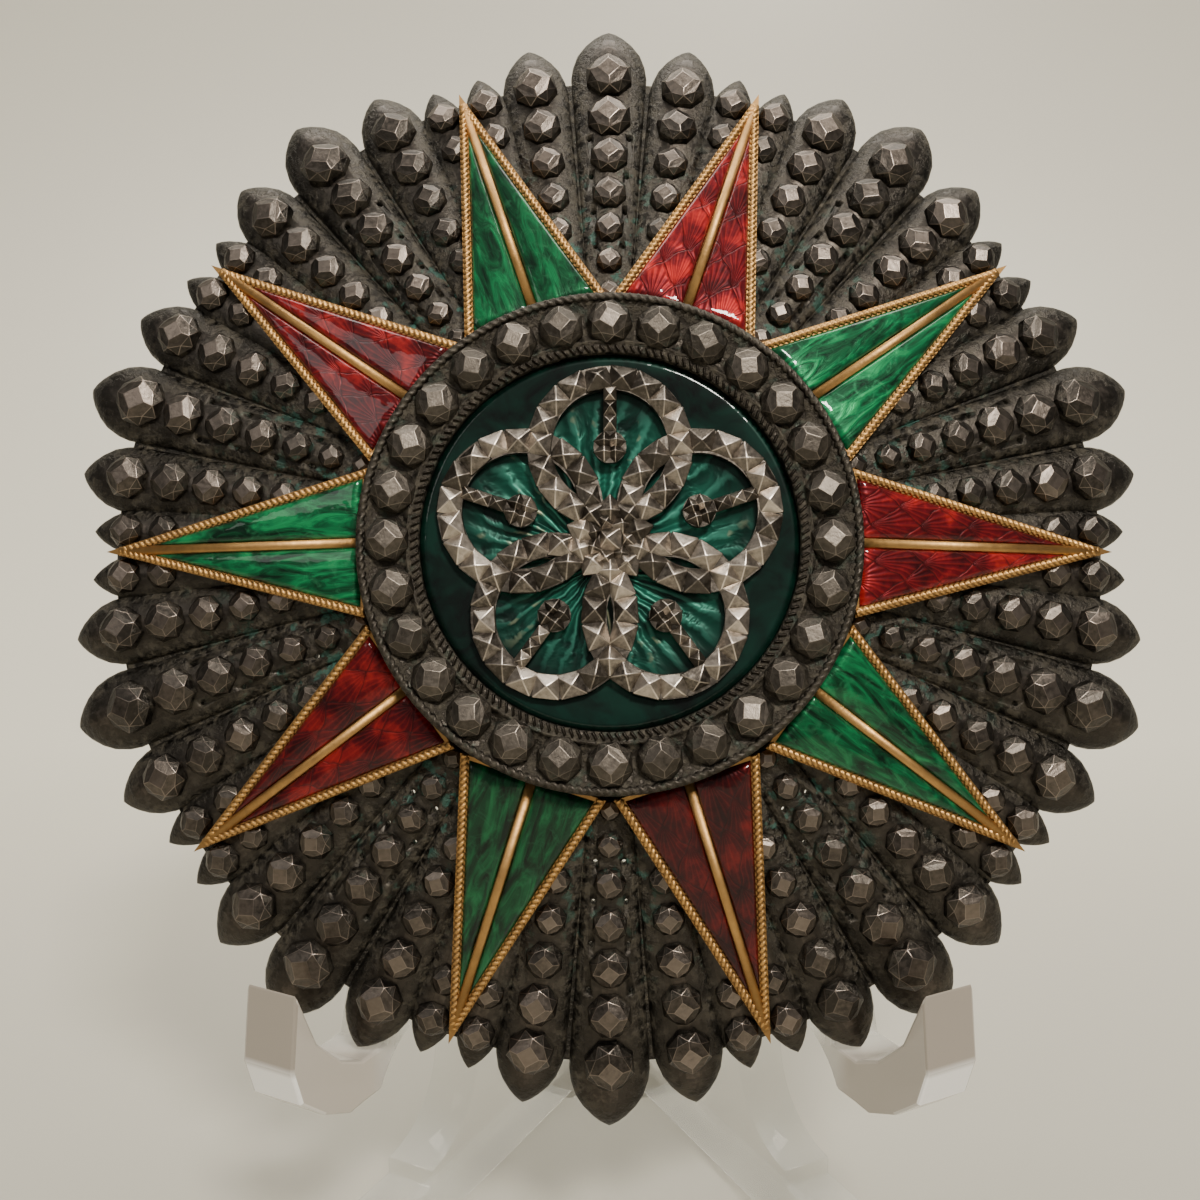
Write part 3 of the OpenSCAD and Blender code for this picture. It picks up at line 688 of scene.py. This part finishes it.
def ridge_z(kind, tip_r, r):
    """Height of a ray's ridge, which falls toward the hub."""
    inward = (r - ROOT_R) / (tip_r - TIP_LEN - ROOT_R)
    return RAY_RISE * RAY_W[kind] / RAY_W["long"] * min(1.0, ROOT_SHARE + (1 - ROOT_SHARE) * inward)


# columns: kind, angle from the group's middle, tip radius, share of bead size, first bead's setback, beads
RAYS = [
    ("long", 0.0, LONG_R, 1.0, FIRST_BEAD, 7),
    ("medium", -MEDIUM_ANGLE, MEDIUM_R, 0.92, FIRST_BEAD * 0.86, 6),
    ("medium", MEDIUM_ANGLE, MEDIUM_R, 0.92, FIRST_BEAD * 0.86, 6),
    ("short", -SHORT_ANGLE, SHORT_R, 0.7, FIRST_BEAD * 0.6, 3),
    ("short", SHORT_ANGLE, SHORT_R, 0.7, FIRST_BEAD * 0.6, 3),
]
# Half width of a ray near its tip
# columns: share of the tip's length, share of the ray's half width
TIP_SHAPE = [(0.0, 0.03), (0.04, 0.13), (0.1, 0.27), (0.2, 0.45), (0.36, 0.67), (0.55, 0.85), (0.78, 0.96),
             (1.0, 1.0)]
# Share of a ray's rise that is its crest, and the wear of its surface at its foot and on its crest, which
# also paints shade low on the flanks and a highlight along the crest
CREST = 0.07
FOOT_WEAR_AND_SHADE, CREST_WEAR_AND_LIGHT = -0.42, 0.38


def ray_body(kind, tip_r):
    """A ray as a closed loft: a rounded ridge with a slight crest, and a flat underside."""
    half = RAY_W[kind] / 2
    tip, root = slope_x(tip_r), slope_x(ROOT_R)
    stations = [(tip - t * TIP_LEN, share) for t, share in TIP_SHAPE]
    back = tip - TIP_LEN
    stations += [(back + (root - back) * i / LOFT_STEPS, 1 + (ROOT_SHARE - 1) * i / LOFT_STEPS)
                 for i in range(1, LOFT_STEPS + 1)]
    arch = [math.pi * k / ARCH_STEPS for k in range(ARCH_STEPS + 1)]
    points = []
    for x, share in stations:
        h = half * share
        rise = ridge_z(kind, tip_r, STAR_R + x * math.cos(DOME)) * min(1.0, (1.2 * share) ** 0.75)
        edge = RAY_EDGE * min(1.0, 2 * share)
        for a in arch:
            crest = CREST * max(0.0, 1 - 3.2 * abs(math.cos(a)))
            points.append((x, h * math.cos(a), rise * ((1 - CREST) * math.sin(a) ** 0.9 + crest)))
        points += [(x, -0.88 * h, -edge), (x, 0.88 * h, -edge)]
    n = len(arch) + 2
    faces = [[i * n + k, i * n + (k + 1) % n, (i + 1) * n + (k + 1) % n, (i + 1) * n + k]
             for i in range(len(stations) - 1) for k in range(n)]
    faces += [list(range(n))[::-1], [(len(stations) - 1) * n + k for k in range(n)]]
    return points, faces


def body_wear_and_light(kind, tip_r, points, faces):
    """How much wear each face of a ray has, and its painted light, from its height up the ridge: painted
    shade low on the flanks and a painted highlight on the crest.
    """
    wear = []
    for f in faces:
        x, _, z = np.mean([points[i] for i in f], axis=0)
        up = min(1.0, max(0.0, z / ridge_z(kind, tip_r, STAR_R + x * math.cos(DOME))))
        wear.append(FOOT_WEAR_AND_SHADE + (CREST_WEAR_AND_LIGHT - FOOT_WEAR_AND_SHADE) * up)
    return wear


def solid(points, faces):
    """An object of these faces, all turned outward."""
    mesh = bpy.data.meshes.new("solid")
    mesh.from_pydata([tuple(p) for p in points], [], faces)
    bm = bmesh.new()
    bm.from_mesh(mesh)
    bmesh.ops.recalc_face_normals(bm, faces=bm.faces)
    bm.to_mesh(mesh)
    bm.free()
    obj = bpy.data.objects.new("solid", mesh)
    bpy.context.scene.collection.objects.link(obj)
    return obj


def cut(points, faces, cutters):
    """Points and faces of a solid after the cutters, closed prisms as points and faces, are taken away."""
    body = solid(points, faces)
    all_points, all_faces = [], []
    for p, f in cutters:
        all_faces += [[i + len(all_points) for i in face] for face in f]
        all_points += [tuple(q) for q in p]
    tool = solid(all_points, all_faces)
    boolean = body.modifiers.new("cut", "BOOLEAN")
    boolean.object = tool
    boolean.operation = "DIFFERENCE"
    boolean.solver = "EXACT"
    evaluated = body.evaluated_get(bpy.context.evaluated_depsgraph_get())
    mesh = evaluated.to_mesh()
    result = [tuple(v.co) for v in mesh.vertices], [list(p.vertices) for p in mesh.polygons]
    evaluated.to_mesh_clear()
    bpy.data.objects.remove(body)
    bpy.data.objects.remove(tool)
    return result


def hole_prisms():
    """Oval prisms beside the bead joints of a long ray, in the slope's frame."""
    radii = bead_radii(LONG_R, 1.0, FIRST_BEAD, max(PIERCED_JOINTS) + 1)
    prisms = []
    for joint in PIERCED_JOINTS:
        r = (radii[joint - 1] + radii[joint]) / 2
        for side in (-1, 1):
            y = side * bead_width(1.0, r) / 2
            points, faces = closed_prism(circle(0.5, HOLE_LOW, 8), circle(0.5, HOLE_HIGH, 8))
            prisms.append(([(x * HOLE_LEN + slope_x(r), v * HOLE_W + y, z) for x, v, z in points], faces))
    return prisms


def point_side_gap(angle, r):
    """Distance of a place on a ray from the long side of the nearest point, negative under it."""
    off = math.radians(GROUP_STEP / 2 - abs(angle))
    if r * math.cos(off) > POINT_TIP_R:
        return STAR_R
    spread = math.tan(POINT_HALF) / math.cos(DOME)
    return (r * math.sin(off) - (POINT_TIP_R - r * math.cos(off)) * spread) * math.cos(POINT_HALF)


def star_rays(material):
    """Fifty rays with their beads, the pierced web between them and the hub."""
    piece = Piece()
    holes = hole_prisms()
    bodies = {kind: ray_body(kind, tip_r) for kind, _, tip_r, *_ in RAYS}
    bodies["long"] = cut(*bodies["long"], holes)
    wear = {kind: body_wear_and_light(kind, tip_r, *bodies[kind]) for kind, _, tip_r, *_ in RAYS}
    for g in range(GROUPS):
        for kind, angle, *_ in RAYS:
            points, faces = bodies[kind]
            piece.add(points, faces, wear[kind], matrix=on_slope((g + 0.5) * GROUP_STEP + angle))
    web = Piece()
    lathe(web, [(ROOT_R, cone_z(ROOT_R) - RAY_EDGE), (WEB_R, cone_z(WEB_R) - RAY_EDGE),
                (WEB_R, cone_z(WEB_R) + WEB_TOP), (ROOT_R, cone_z(ROOT_R) + WEB_TOP)], 120)
    cutters = [(moved(p, on_slope((g + 0.5) * GROUP_STEP)), f) for g in range(GROUPS) for p, f in holes]
    points, faces = cut(np.concatenate(web.points), web.faces, cutters)
    # The web between the rays takes the foot's value: patina, dirt and painted shade
    piece.add(points, faces, FOOT_WEAR_AND_SHADE, smooth=False)
    piece.add(*closed_prism(circle(HUB_R, HUB_LOW, 96), circle(HUB_R, HUB_HIGH, 96)), 0.1, smooth=False)
    bead = bead_shape()
    draw = random.Random(11)
    for g in range(GROUPS):
        for kind, angle, tip_r, share, setback, count in RAYS:
            for r in bead_radii(tip_r, share, setback, count):
                width = bead_width(share, r)
                if r <= RING_R or point_side_gap(angle, r) <= -COVERED * width / 2:
                    continue
                tilt = wobble(draw, BEAD_LEAN, BEAD_TURN)
                across = [width * draw.uniform(*BEAD_SPREAD) for _ in range(2)]
                size = Matrix.Diagonal((*across, BEAD_RISE * width / BEAD_D, 1))
                seat = shift(slope_x(r), 0, ridge_z(kind, tip_r, r))
                matrix = on_slope((g + 0.5) * GROUP_STEP + angle) @ seat @ tilt @ size
                piece.add_shape(bead, draw.uniform(*BEAD_TONES), matrix)
    return piece.build("star_rays", material, "dark_silver", "star_body")


# Points
def triangle(inset=0.0, base_inset=0.0):
    """Tip and base corners of a point's outline in the slope's frame, drawn in at its sides and base."""
    tip = slope_x(POINT_TIP_R) - inset / math.sin(POINT_HALF)
    base = slope_x(POINT_BASE_R) + base_inset
    half = (tip - base) * math.tan(POINT_HALF)
    return [(tip, 0.0), (base, half), (base, -half)]


def prism(corners, low, high):
    """A flat outline raised from one height to another."""
    return closed_prism([(x, y, low) for x, y in corners], [(x, y, high) for x, y in corners])


def gold_point(k, material):
    """The floor, border, rib and cords of a point."""
    piece = Piece()
    matrix = on_slope(k * GROUP_STEP)
    drift = np.array([PATTERN_STEP * k, 0.0, 0.0])

    def add(points, faces, wear_and_light, smooth=False):
        piece.add(points, faces, wear_and_light, smooth, matrix, np.asarray(points) + drift)

    add(*prism(triangle(), POINT_LOW, FLOOR_TOP), FLOOR_WEAR)
    outer, inner = triangle(), triangle(BORDER_W, BASE_BORDER_W)
    for i in range(3):
        j = (i + 1) % 3
        side = [outer[i], outer[j], inner[j], inner[i]]
        add(*prism(side, FLOOR_TOP, POINT_TOP - BORDER_SINK), BORDER_WEAR)
    # Half round rib from the base to the tip
    arch = [math.pi * i / 8 for i in range(9)]
    section = [(RIB_W / 2 * math.cos(a), RIB_SIDE + RIB_CROWN * math.sin(a)) for a in arch]
    section += [(-RIB_W / 2, 0.0), (RIB_W / 2, 0.0)]
    ends = (inner[1][0], outer[0][0] - RIB_SETBACK)
    add(*closed_prism(*([(x, y, FLOOR_TOP + z) for y, z in section] for x in ends)), RIB_WEAR, True)
    # A cord along the middle of the border of each long side
    middle = triangle(BORDER_W / 2)
    for corner in (1, 2):
        ends = [np.array([*middle[end], POINT_TOP - CORD_SINK]) for end in (corner, 0)]
        strand = Piece()
        cord(strand, ends, [(0, 0, 1)] * 2, BORDER_W / 2 + 0.02, CORD_PITCH, CORD_WEAR)
        add(np.concatenate(strand.points), strand.faces, strand.wear_and_light, True)
    return piece.build(f"gold_point_{k}", material, "gold", f"point_frame_{k}")


# Painted light on each point's enamel, by the point's number: paler on the points toward the upper right,
# darkest on the two at the bottom
PAINTED_POINT_LIGHT = {10: 0.85, 1: 0.85, 2: 0.85, 3: 0.36, 4: 0.55, 5: 0.66, 6: 0.44, 7: 0.16, 8: 0.1, 9: 0.5}


def enamel_panel(k, side, material, slot):
    """A swelling sheet of enamel that fills one tray, closed below."""
    slope = math.tan(POINT_HALF)
    rib = RIB_W / 2 + TRAY_GAP
    edge = (BORDER_W + TRAY_GAP) / math.cos(POINT_HALF)
    tip, base = slope_x(POINT_TIP_R), slope_x(POINT_BASE_R) + BASE_BORDER_W + TRAY_GAP
    a = np.array([tip - (rib + edge) / slope, side * rib])
    b = np.array([base, side * rib])
    c = np.array([base, side * ((tip - base) * slope - edge)])
    n = PANEL_STEPS
    index, points = {}, []
    for i in range(n + 1):
        for j in range(n + 1 - i):
            u, v, w = i / n, j / n, (n - i - j) / n
            x, y = a * u + b * v + c * w
            swell = min(1.0, (27 * u * v * w) ** 0.42)
            index[i, j] = len(points)
            points.append((x, y, POINT_TOP - PANEL_SINK + SWELL * swell))
    faces = []
    for i in range(n):
        for j in range(n - i):
            faces.append([index[i, j], index[i + 1, j], index[i, j + 1]])
            if i + j < n - 1:
                faces.append([index[i + 1, j], index[i + 1, j + 1], index[i, j + 1]])
    rim = ([index[i, 0] for i in range(n)] + [index[n - j, j] for j in range(n)]
           + [index[0, n - j] for j in range(n)])
    low = len(points)
    points += [(points[i][0], points[i][1], FLOOR_TOP + 0.04) for i in rim]
    count = len(rim)
    faces += [[rim[m], low + m, low + (m + 1) % count, rim[(m + 1) % count]] for m in range(count)]
    faces.append([low + m for m in range(count)][::-1])
    if side < 0:
        faces = [f[::-1] for f in faces]
    smooth = [len(f) == 3 for f in faces]
    piece = Piece()
    # Each point's enamel carries its painted light from the table above
    piece.add(points, [f[::-1] for f in faces], PAINTED_POINT_LIGHT[k], smooth, on_slope(k * GROUP_STEP),
              np.asarray(points) + [PATTERN_STEP * k, 0.0, 0.0])
    name = "left" if side > 0 else "right"
    return piece.build(f"enamel_{k}_{name}", material, slot, f"point_enamel_{k}_{name}")


# Centre
def beaded_ring(material):
    """A flange with a corded rim, a circle of teeth and its beads."""
    piece = Piece()
    middle = (RING_R + OPENING_R) / 2
    # The section, from the foot of the opening outward, up the rim and back over the flange
    lathe(piece, [
        (OPENING_R, RING_LOW), (HUB_R, RING_LOW), (HUB_R, FLANGE_LOW), (RING_R - 0.15, FLANGE_LOW),
        (RING_R, FLANGE_LOW + 0.15), (RING_R, RIM_TOP - 0.35), (RING_R - 0.55, RIM_TOP - 0.3),
        (RING_R - 0.75, FLANGE_TOP + 0.05), (middle + 0.9, FLANGE_TOP - 0.14), (middle, FLANGE_TOP - 0.2),
        (middle - 0.9, FLANGE_TOP - 0.14), (OPENING_R + 0.95, FLANGE_TOP + 0.06),
        (OPENING_R + 0.86, FLANGE_TOP + 0.26), (OPENING_R + 0.74, FLANGE_TOP + 0.26),
        (OPENING_R + 0.66, FLANGE_TOP + 0.1), (OPENING_R + 0.5, FLANGE_TOP + 0.16),
        (OPENING_R + 0.05, FLANGE_TOP + 0.12), (OPENING_R, FLANGE_TOP),
    ], 160)
    rim = circle(RING_R - 0.33, RIM_TOP - 0.3, 180)
    cord(piece, rim, [(0, 0, 1)] * len(rim), RIM_CORD_R, RIM_CORD_PITCH, RIM_CORD_WEAR, closed=True)
    # Slanted teeth round the inner edge
    tooth = tooth_shape()
    for i in range(TEETH):
        seat = shift(OPENING_R + 0.3, 0, FLANGE_TOP + 0.1)
        piece.add(*tooth, turn_z(i * 360 / TEETH) @ seat @ turn_z(TOOTH_SLANT))
    bead = bead_shape()
    draw = random.Random(5)
    size = Matrix.Diagonal((RING_BEAD_D, RING_BEAD_D, RING_BEAD_RISE, 1))
    for i in range(RING_BEADS):
        seat = shift(middle, 0, FLANGE_TOP + 0.2)
        matrix = turn_z(i * 360 / RING_BEADS) @ seat @ wobble(draw, BEAD_LEAN, RING_BEAD_TURN) @ size
        piece.add_shape(bead, draw.uniform(*RING_BEAD_TONES), matrix)
    return piece.build("beaded_ring", material, "dark_silver", "centre_ring")


def enamel_disc(material):
    """A disc dished inside a flat rim."""
    piece = Piece()
    hollow = DISC_R - DISC_RIM
    profile = [(0.001, DISC_LOW), (DISC_R, DISC_LOW), (DISC_R, DISC_TOP)]
    profile += [(max(0.001, hollow * i / DISC_STEPS), DISC_TOP - DISC_DISH * (1 - (i / DISC_STEPS) ** 2))
                for i in range(DISC_STEPS, -1, -1)]
    lathe(piece, profile, 128, DISC_THIN)
    return piece.build("enamel_disc", material, "centre_enamel", "centre_enamel")


def loop_place(k, angle):
    """The middle of a loop of the ornament, turned by an angle."""
    return turn_z(90 + k * LOOP_STEP) @ shift(LOOP_CENTRE_R, 0, 0) @ turn_z(angle)


def openwork(material):
    """Five crossing loops round a boss, each with a bud on a stem, all paved with pyramids."""
    piece = Piece()
    pyramid = pyramid_shape()
    draw = random.Random(23)
    band_top = ORNAMENT_LOW + BAND_T
    rise = ORNAMENT_TOP - band_top

    def stud(matrix, length, width, height=1.0):
        lean = Matrix.Rotation(math.radians(draw.gauss(0, STUD_LEAN)), 4, "Y")
        size = Matrix.Diagonal((length, width, rise * height * draw.uniform(*STUD_RISES), 1))
        seat = shift(0, 0, band_top)
        piece.add_shape(pyramid, draw.uniform(*STUD_TONES), matrix @ seat @ lean @ size)

    def disc(radius, sides, low=ORNAMENT_LOW, high=band_top, wear_and_light=BAND_WEAR, matrix=None):
        points, faces = closed_prism(circle(radius, low, sides), circle(radius, high, sides))
        piece.add(points, faces, wear_and_light, False, matrix)

    centres = [np.array(loop_place(k, 0).translation)[:2] for k in range(LOOPS)]
    for k in range(LOOPS):
        here = loop_place(k, 0)
        ring = Piece()
        inner, outer = LOOP_R - BAND_W / 2, LOOP_R + BAND_W / 2
        lathe(ring, [(inner, ORNAMENT_LOW), (outer, ORNAMENT_LOW), (outer, band_top), (inner, band_top)],
              64)
        piece.add(np.concatenate(ring.points), ring.faces, BAND_WEAR, False, here)
        for i in range(LOOP_STUDS):
            matrix = loop_place(k, (i + 0.5) * 360 / LOOP_STUDS) @ shift(LOOP_R, 0, 0)
            spot = np.array(matrix.translation)[:2]
            gaps = [abs(np.linalg.norm(spot - centres[m]) - LOOP_R) for m in range(LOOPS) if m != k]
            if min(gaps) > BAND_W * 0.42 and np.linalg.norm(spot) > BOSS_CLEAR_R:
                stud(matrix, BAND_W * 1.02, math.tau * LOOP_R / LOOP_STUDS * 1.1)
        disc(BUD_R, 24, matrix=here)
        for quarter in range(4):
            stud(loop_place(k, 45 + 90 * quarter) @ shift(0.56, 0, 0), 1.1, 1.1)
        stem = [(0, -STEM_W / 2), (LOOP_R, -STEM_W / 2), (LOOP_R, STEM_W / 2), (0, STEM_W / 2)]
        piece.add(*prism(stem, ORNAMENT_LOW, band_top), BAND_WEAR, False, here)
        for x in STEM_STUDS:
            stud(here @ shift(x, 0, 0), 1.15, 0.95, 0.8)
        disc(POST_R, 12, DISC_TOP - POST_SINK, ORNAMENT_LOW, POST_WEAR, here)
    # A taller pyramid at each crossing, and the boss
    for i in range(LOOPS):
        for j in range(i + 1, LOOPS):
            apart = centres[j] - centres[i]
            d = np.linalg.norm(apart)
            side = np.array([-apart[1], apart[0]]) / d * math.sqrt(max(0.0, LOOP_R ** 2 - d * d / 4))
            for sign in (-1, 1):
                spot = (centres[i] + centres[j]) / 2 + sign * side
                if np.linalg.norm(spot) > BOSS_CLEAR_R:
                    facing = math.degrees(math.atan2(spot[1], spot[0]))
                    stud(shift(*spot, 0) @ turn_z(facing + 45), 1.7, 1.7, 1.1)
    disc(BOSS_R, 32)
    for i in range(BOSS_STUDS):
        stud(turn_z(i * 360 / BOSS_STUDS) @ shift(1.3, 0, 0), 1.15, 1.15)
    stud(Matrix.Identity(4), 1.7, 1.7, 1.3)
    return piece.build("openwork", material, "bright_silver", "centre_ornament")


# Easel and pin
def eased_copy(node, name, material, slot, ease):
    """A node's own solid with its sharp edges eased."""
    mesh = NODES[node].data.copy()
    bm = bmesh.new()
    bm.from_mesh(mesh)
    bmesh.ops.remove_doubles(bm, verts=bm.verts, dist=1e-6)
    bmesh.ops.dissolve_limit(bm, angle_limit=math.radians(1), verts=bm.verts, edges=bm.edges)
    sharp = [e for e in bm.edges if len(e.link_faces) == 2 and e.calc_face_angle() > math.radians(40)]
    bmesh.ops.bevel(bm, geom=sharp, offset=ease * MM, segments=2, affect="EDGES", profile=0.5)
    bm.to_mesh(mesh)
    bm.free()
    mesh.materials.clear()
    mesh.materials.append(material)
    wear_and_light = mesh.attributes.new("wear_and_light", "FLOAT", "FACE")
    wear_and_light.data.foreach_set("value", [EASED_WEAR] * len(mesh.polygons))
    local = mesh.attributes.new("local", "FLOAT_VECTOR", "POINT")
    local.data.foreach_set("vector", [c / MM for v in mesh.vertices for c in v.co])
    return place(bpy.data.objects.new(name, mesh), slot, node)


# Surroundings
def backdrop():
    """Pale floor that curves up into a wall behind, in metres."""
    width, front, back, bend, height = 1.6, -0.7, 0.34, 0.22, 1.1
    profile = [(front, 0.0), (back - bend, 0.0)]
    profile += [(back - bend + bend * math.sin(a), bend * (1 - math.cos(a)))
                for a in (math.pi / 2 * i / 16 for i in range(1, 17))]
    profile.append((back, height))
    points = [(x, y, z) for x in (-width / 2, width / 2) for y, z in profile]
    n = len(profile)
    mesh = bpy.data.meshes.new("backdrop")
    mesh.from_pydata(points, [], [[i, n + i, n + i + 1, i + 1] for i in range(n - 1)])
    mesh.polygons.foreach_set("use_smooth", [True] * (n - 1))
    mesh.materials.append(backdrop_paint())
    obj = bpy.data.objects.new("backdrop", mesh)
    bpy.context.scene.collection.objects.link(obj)


# Lengths here are in metres
# columns: name, place, what it faces, size, watts, colour
LIGHTS = [
    ("key", (0.14, -0.42, 0.47), STAR_ORIGIN, (0.12, 0.08), 4.0, (1.0, 0.95, 0.88)),
    ("fill", (-0.3, -0.35, 0.36), STAR_ORIGIN, (0.25, 0.2), 0.4, (1.0, 0.97, 0.93)),
    ("wash", (0.0, 0.12, 0.7), (0.0, 0.28, 0.1), (0.7, 0.3), 5.5, (1.0, 0.97, 0.915)),
]
WORLD_COLOUR, WORLD_STRENGTH = (0.8, 0.77, 0.72, 1), 0.255


def lights():
    """Soft studio light from the front and above, and a pale world."""
    for name, spot, target, size, watts, colour in LIGHTS:
        data = bpy.data.lights.new(name, "AREA")
        data.shape = "RECTANGLE"
        data.size, data.size_y = size
        data.energy = watts
        data.color = colour
        obj = bpy.data.objects.new(name, data)
        obj.location = spot
        obj.rotation_euler = (Vector(target) - Vector(spot)).to_track_quat("-Z", "Y").to_euler()
        bpy.context.scene.collection.objects.link(obj)
    world = bpy.data.worlds.new("soft")
    world.use_nodes = True
    background = world.node_tree.nodes["Background"].inputs
    background["Color"].default_value = WORLD_COLOUR
    background["Strength"].default_value = WORLD_STRENGTH
    bpy.context.scene.world = world


def camera():
    """At the photograph's angle, with the star's origin where the photograph shows it."""
    forward = Vector((0, math.cos(CAMERA_ELEVATION), -math.sin(CAMERA_ELEVATION)))
    up = Vector((0, math.sin(CAMERA_ELEVATION), math.cos(CAMERA_ELEVATION)))
    scale = CAMERA_DISTANCE / FOCAL_PX
    right_by = (STAR_PX[0] - FRAME_PX / 2) * scale
    up_by = (FRAME_PX / 2 - STAR_PX[1]) * scale
    location = STAR_ORIGIN - (forward * CAMERA_DISTANCE + AXIS_X * right_by + up * up_by) * MM
    data = bpy.data.cameras.new("camera")
    data.sensor_width = SENSOR_W
    data.lens = SENSOR_W * FOCAL_PX / FRAME_PX
    data.clip_start = 0.005
    obj = bpy.data.objects.new("camera", data)
    obj.location = location
    obj.rotation_euler = forward.to_track_quat("-Z", "Y").to_euler()
    bpy.context.scene.collection.objects.link(obj)
    bpy.context.scene.camera = obj


def main():
    silver, ring_silver, pewter = [dark_silver(name, *values) for name, values in SILVERS.items()]
    gold, red, green = gold_metal(), red_enamel(), green_enamel()
    star_rays(silver)
    beaded_ring(ring_silver)
    enamel_disc(centre_green())
    openwork(pewter)
    for k in range(1, GROUPS + 1):
        gold_point(k, gold)
        for side in (1, -1):
            if k % 2 == 0:
                enamel_panel(k, side, red, "red_enamel")
            else:
                enamel_panel(k, side, green, "green_enamel")
    acrylic = clear_acrylic()
    for part in ("frame_left", "frame_right", "spine"):
        eased_copy(f"easel_{part}", f"clear_{part}", acrylic, "clear_acrylic", EASEL_EASE)
    eased_copy("back_pin", "pin", pewter, "dark_silver", PIN_EASE)
    backdrop()
    lights()
    camera()


main()
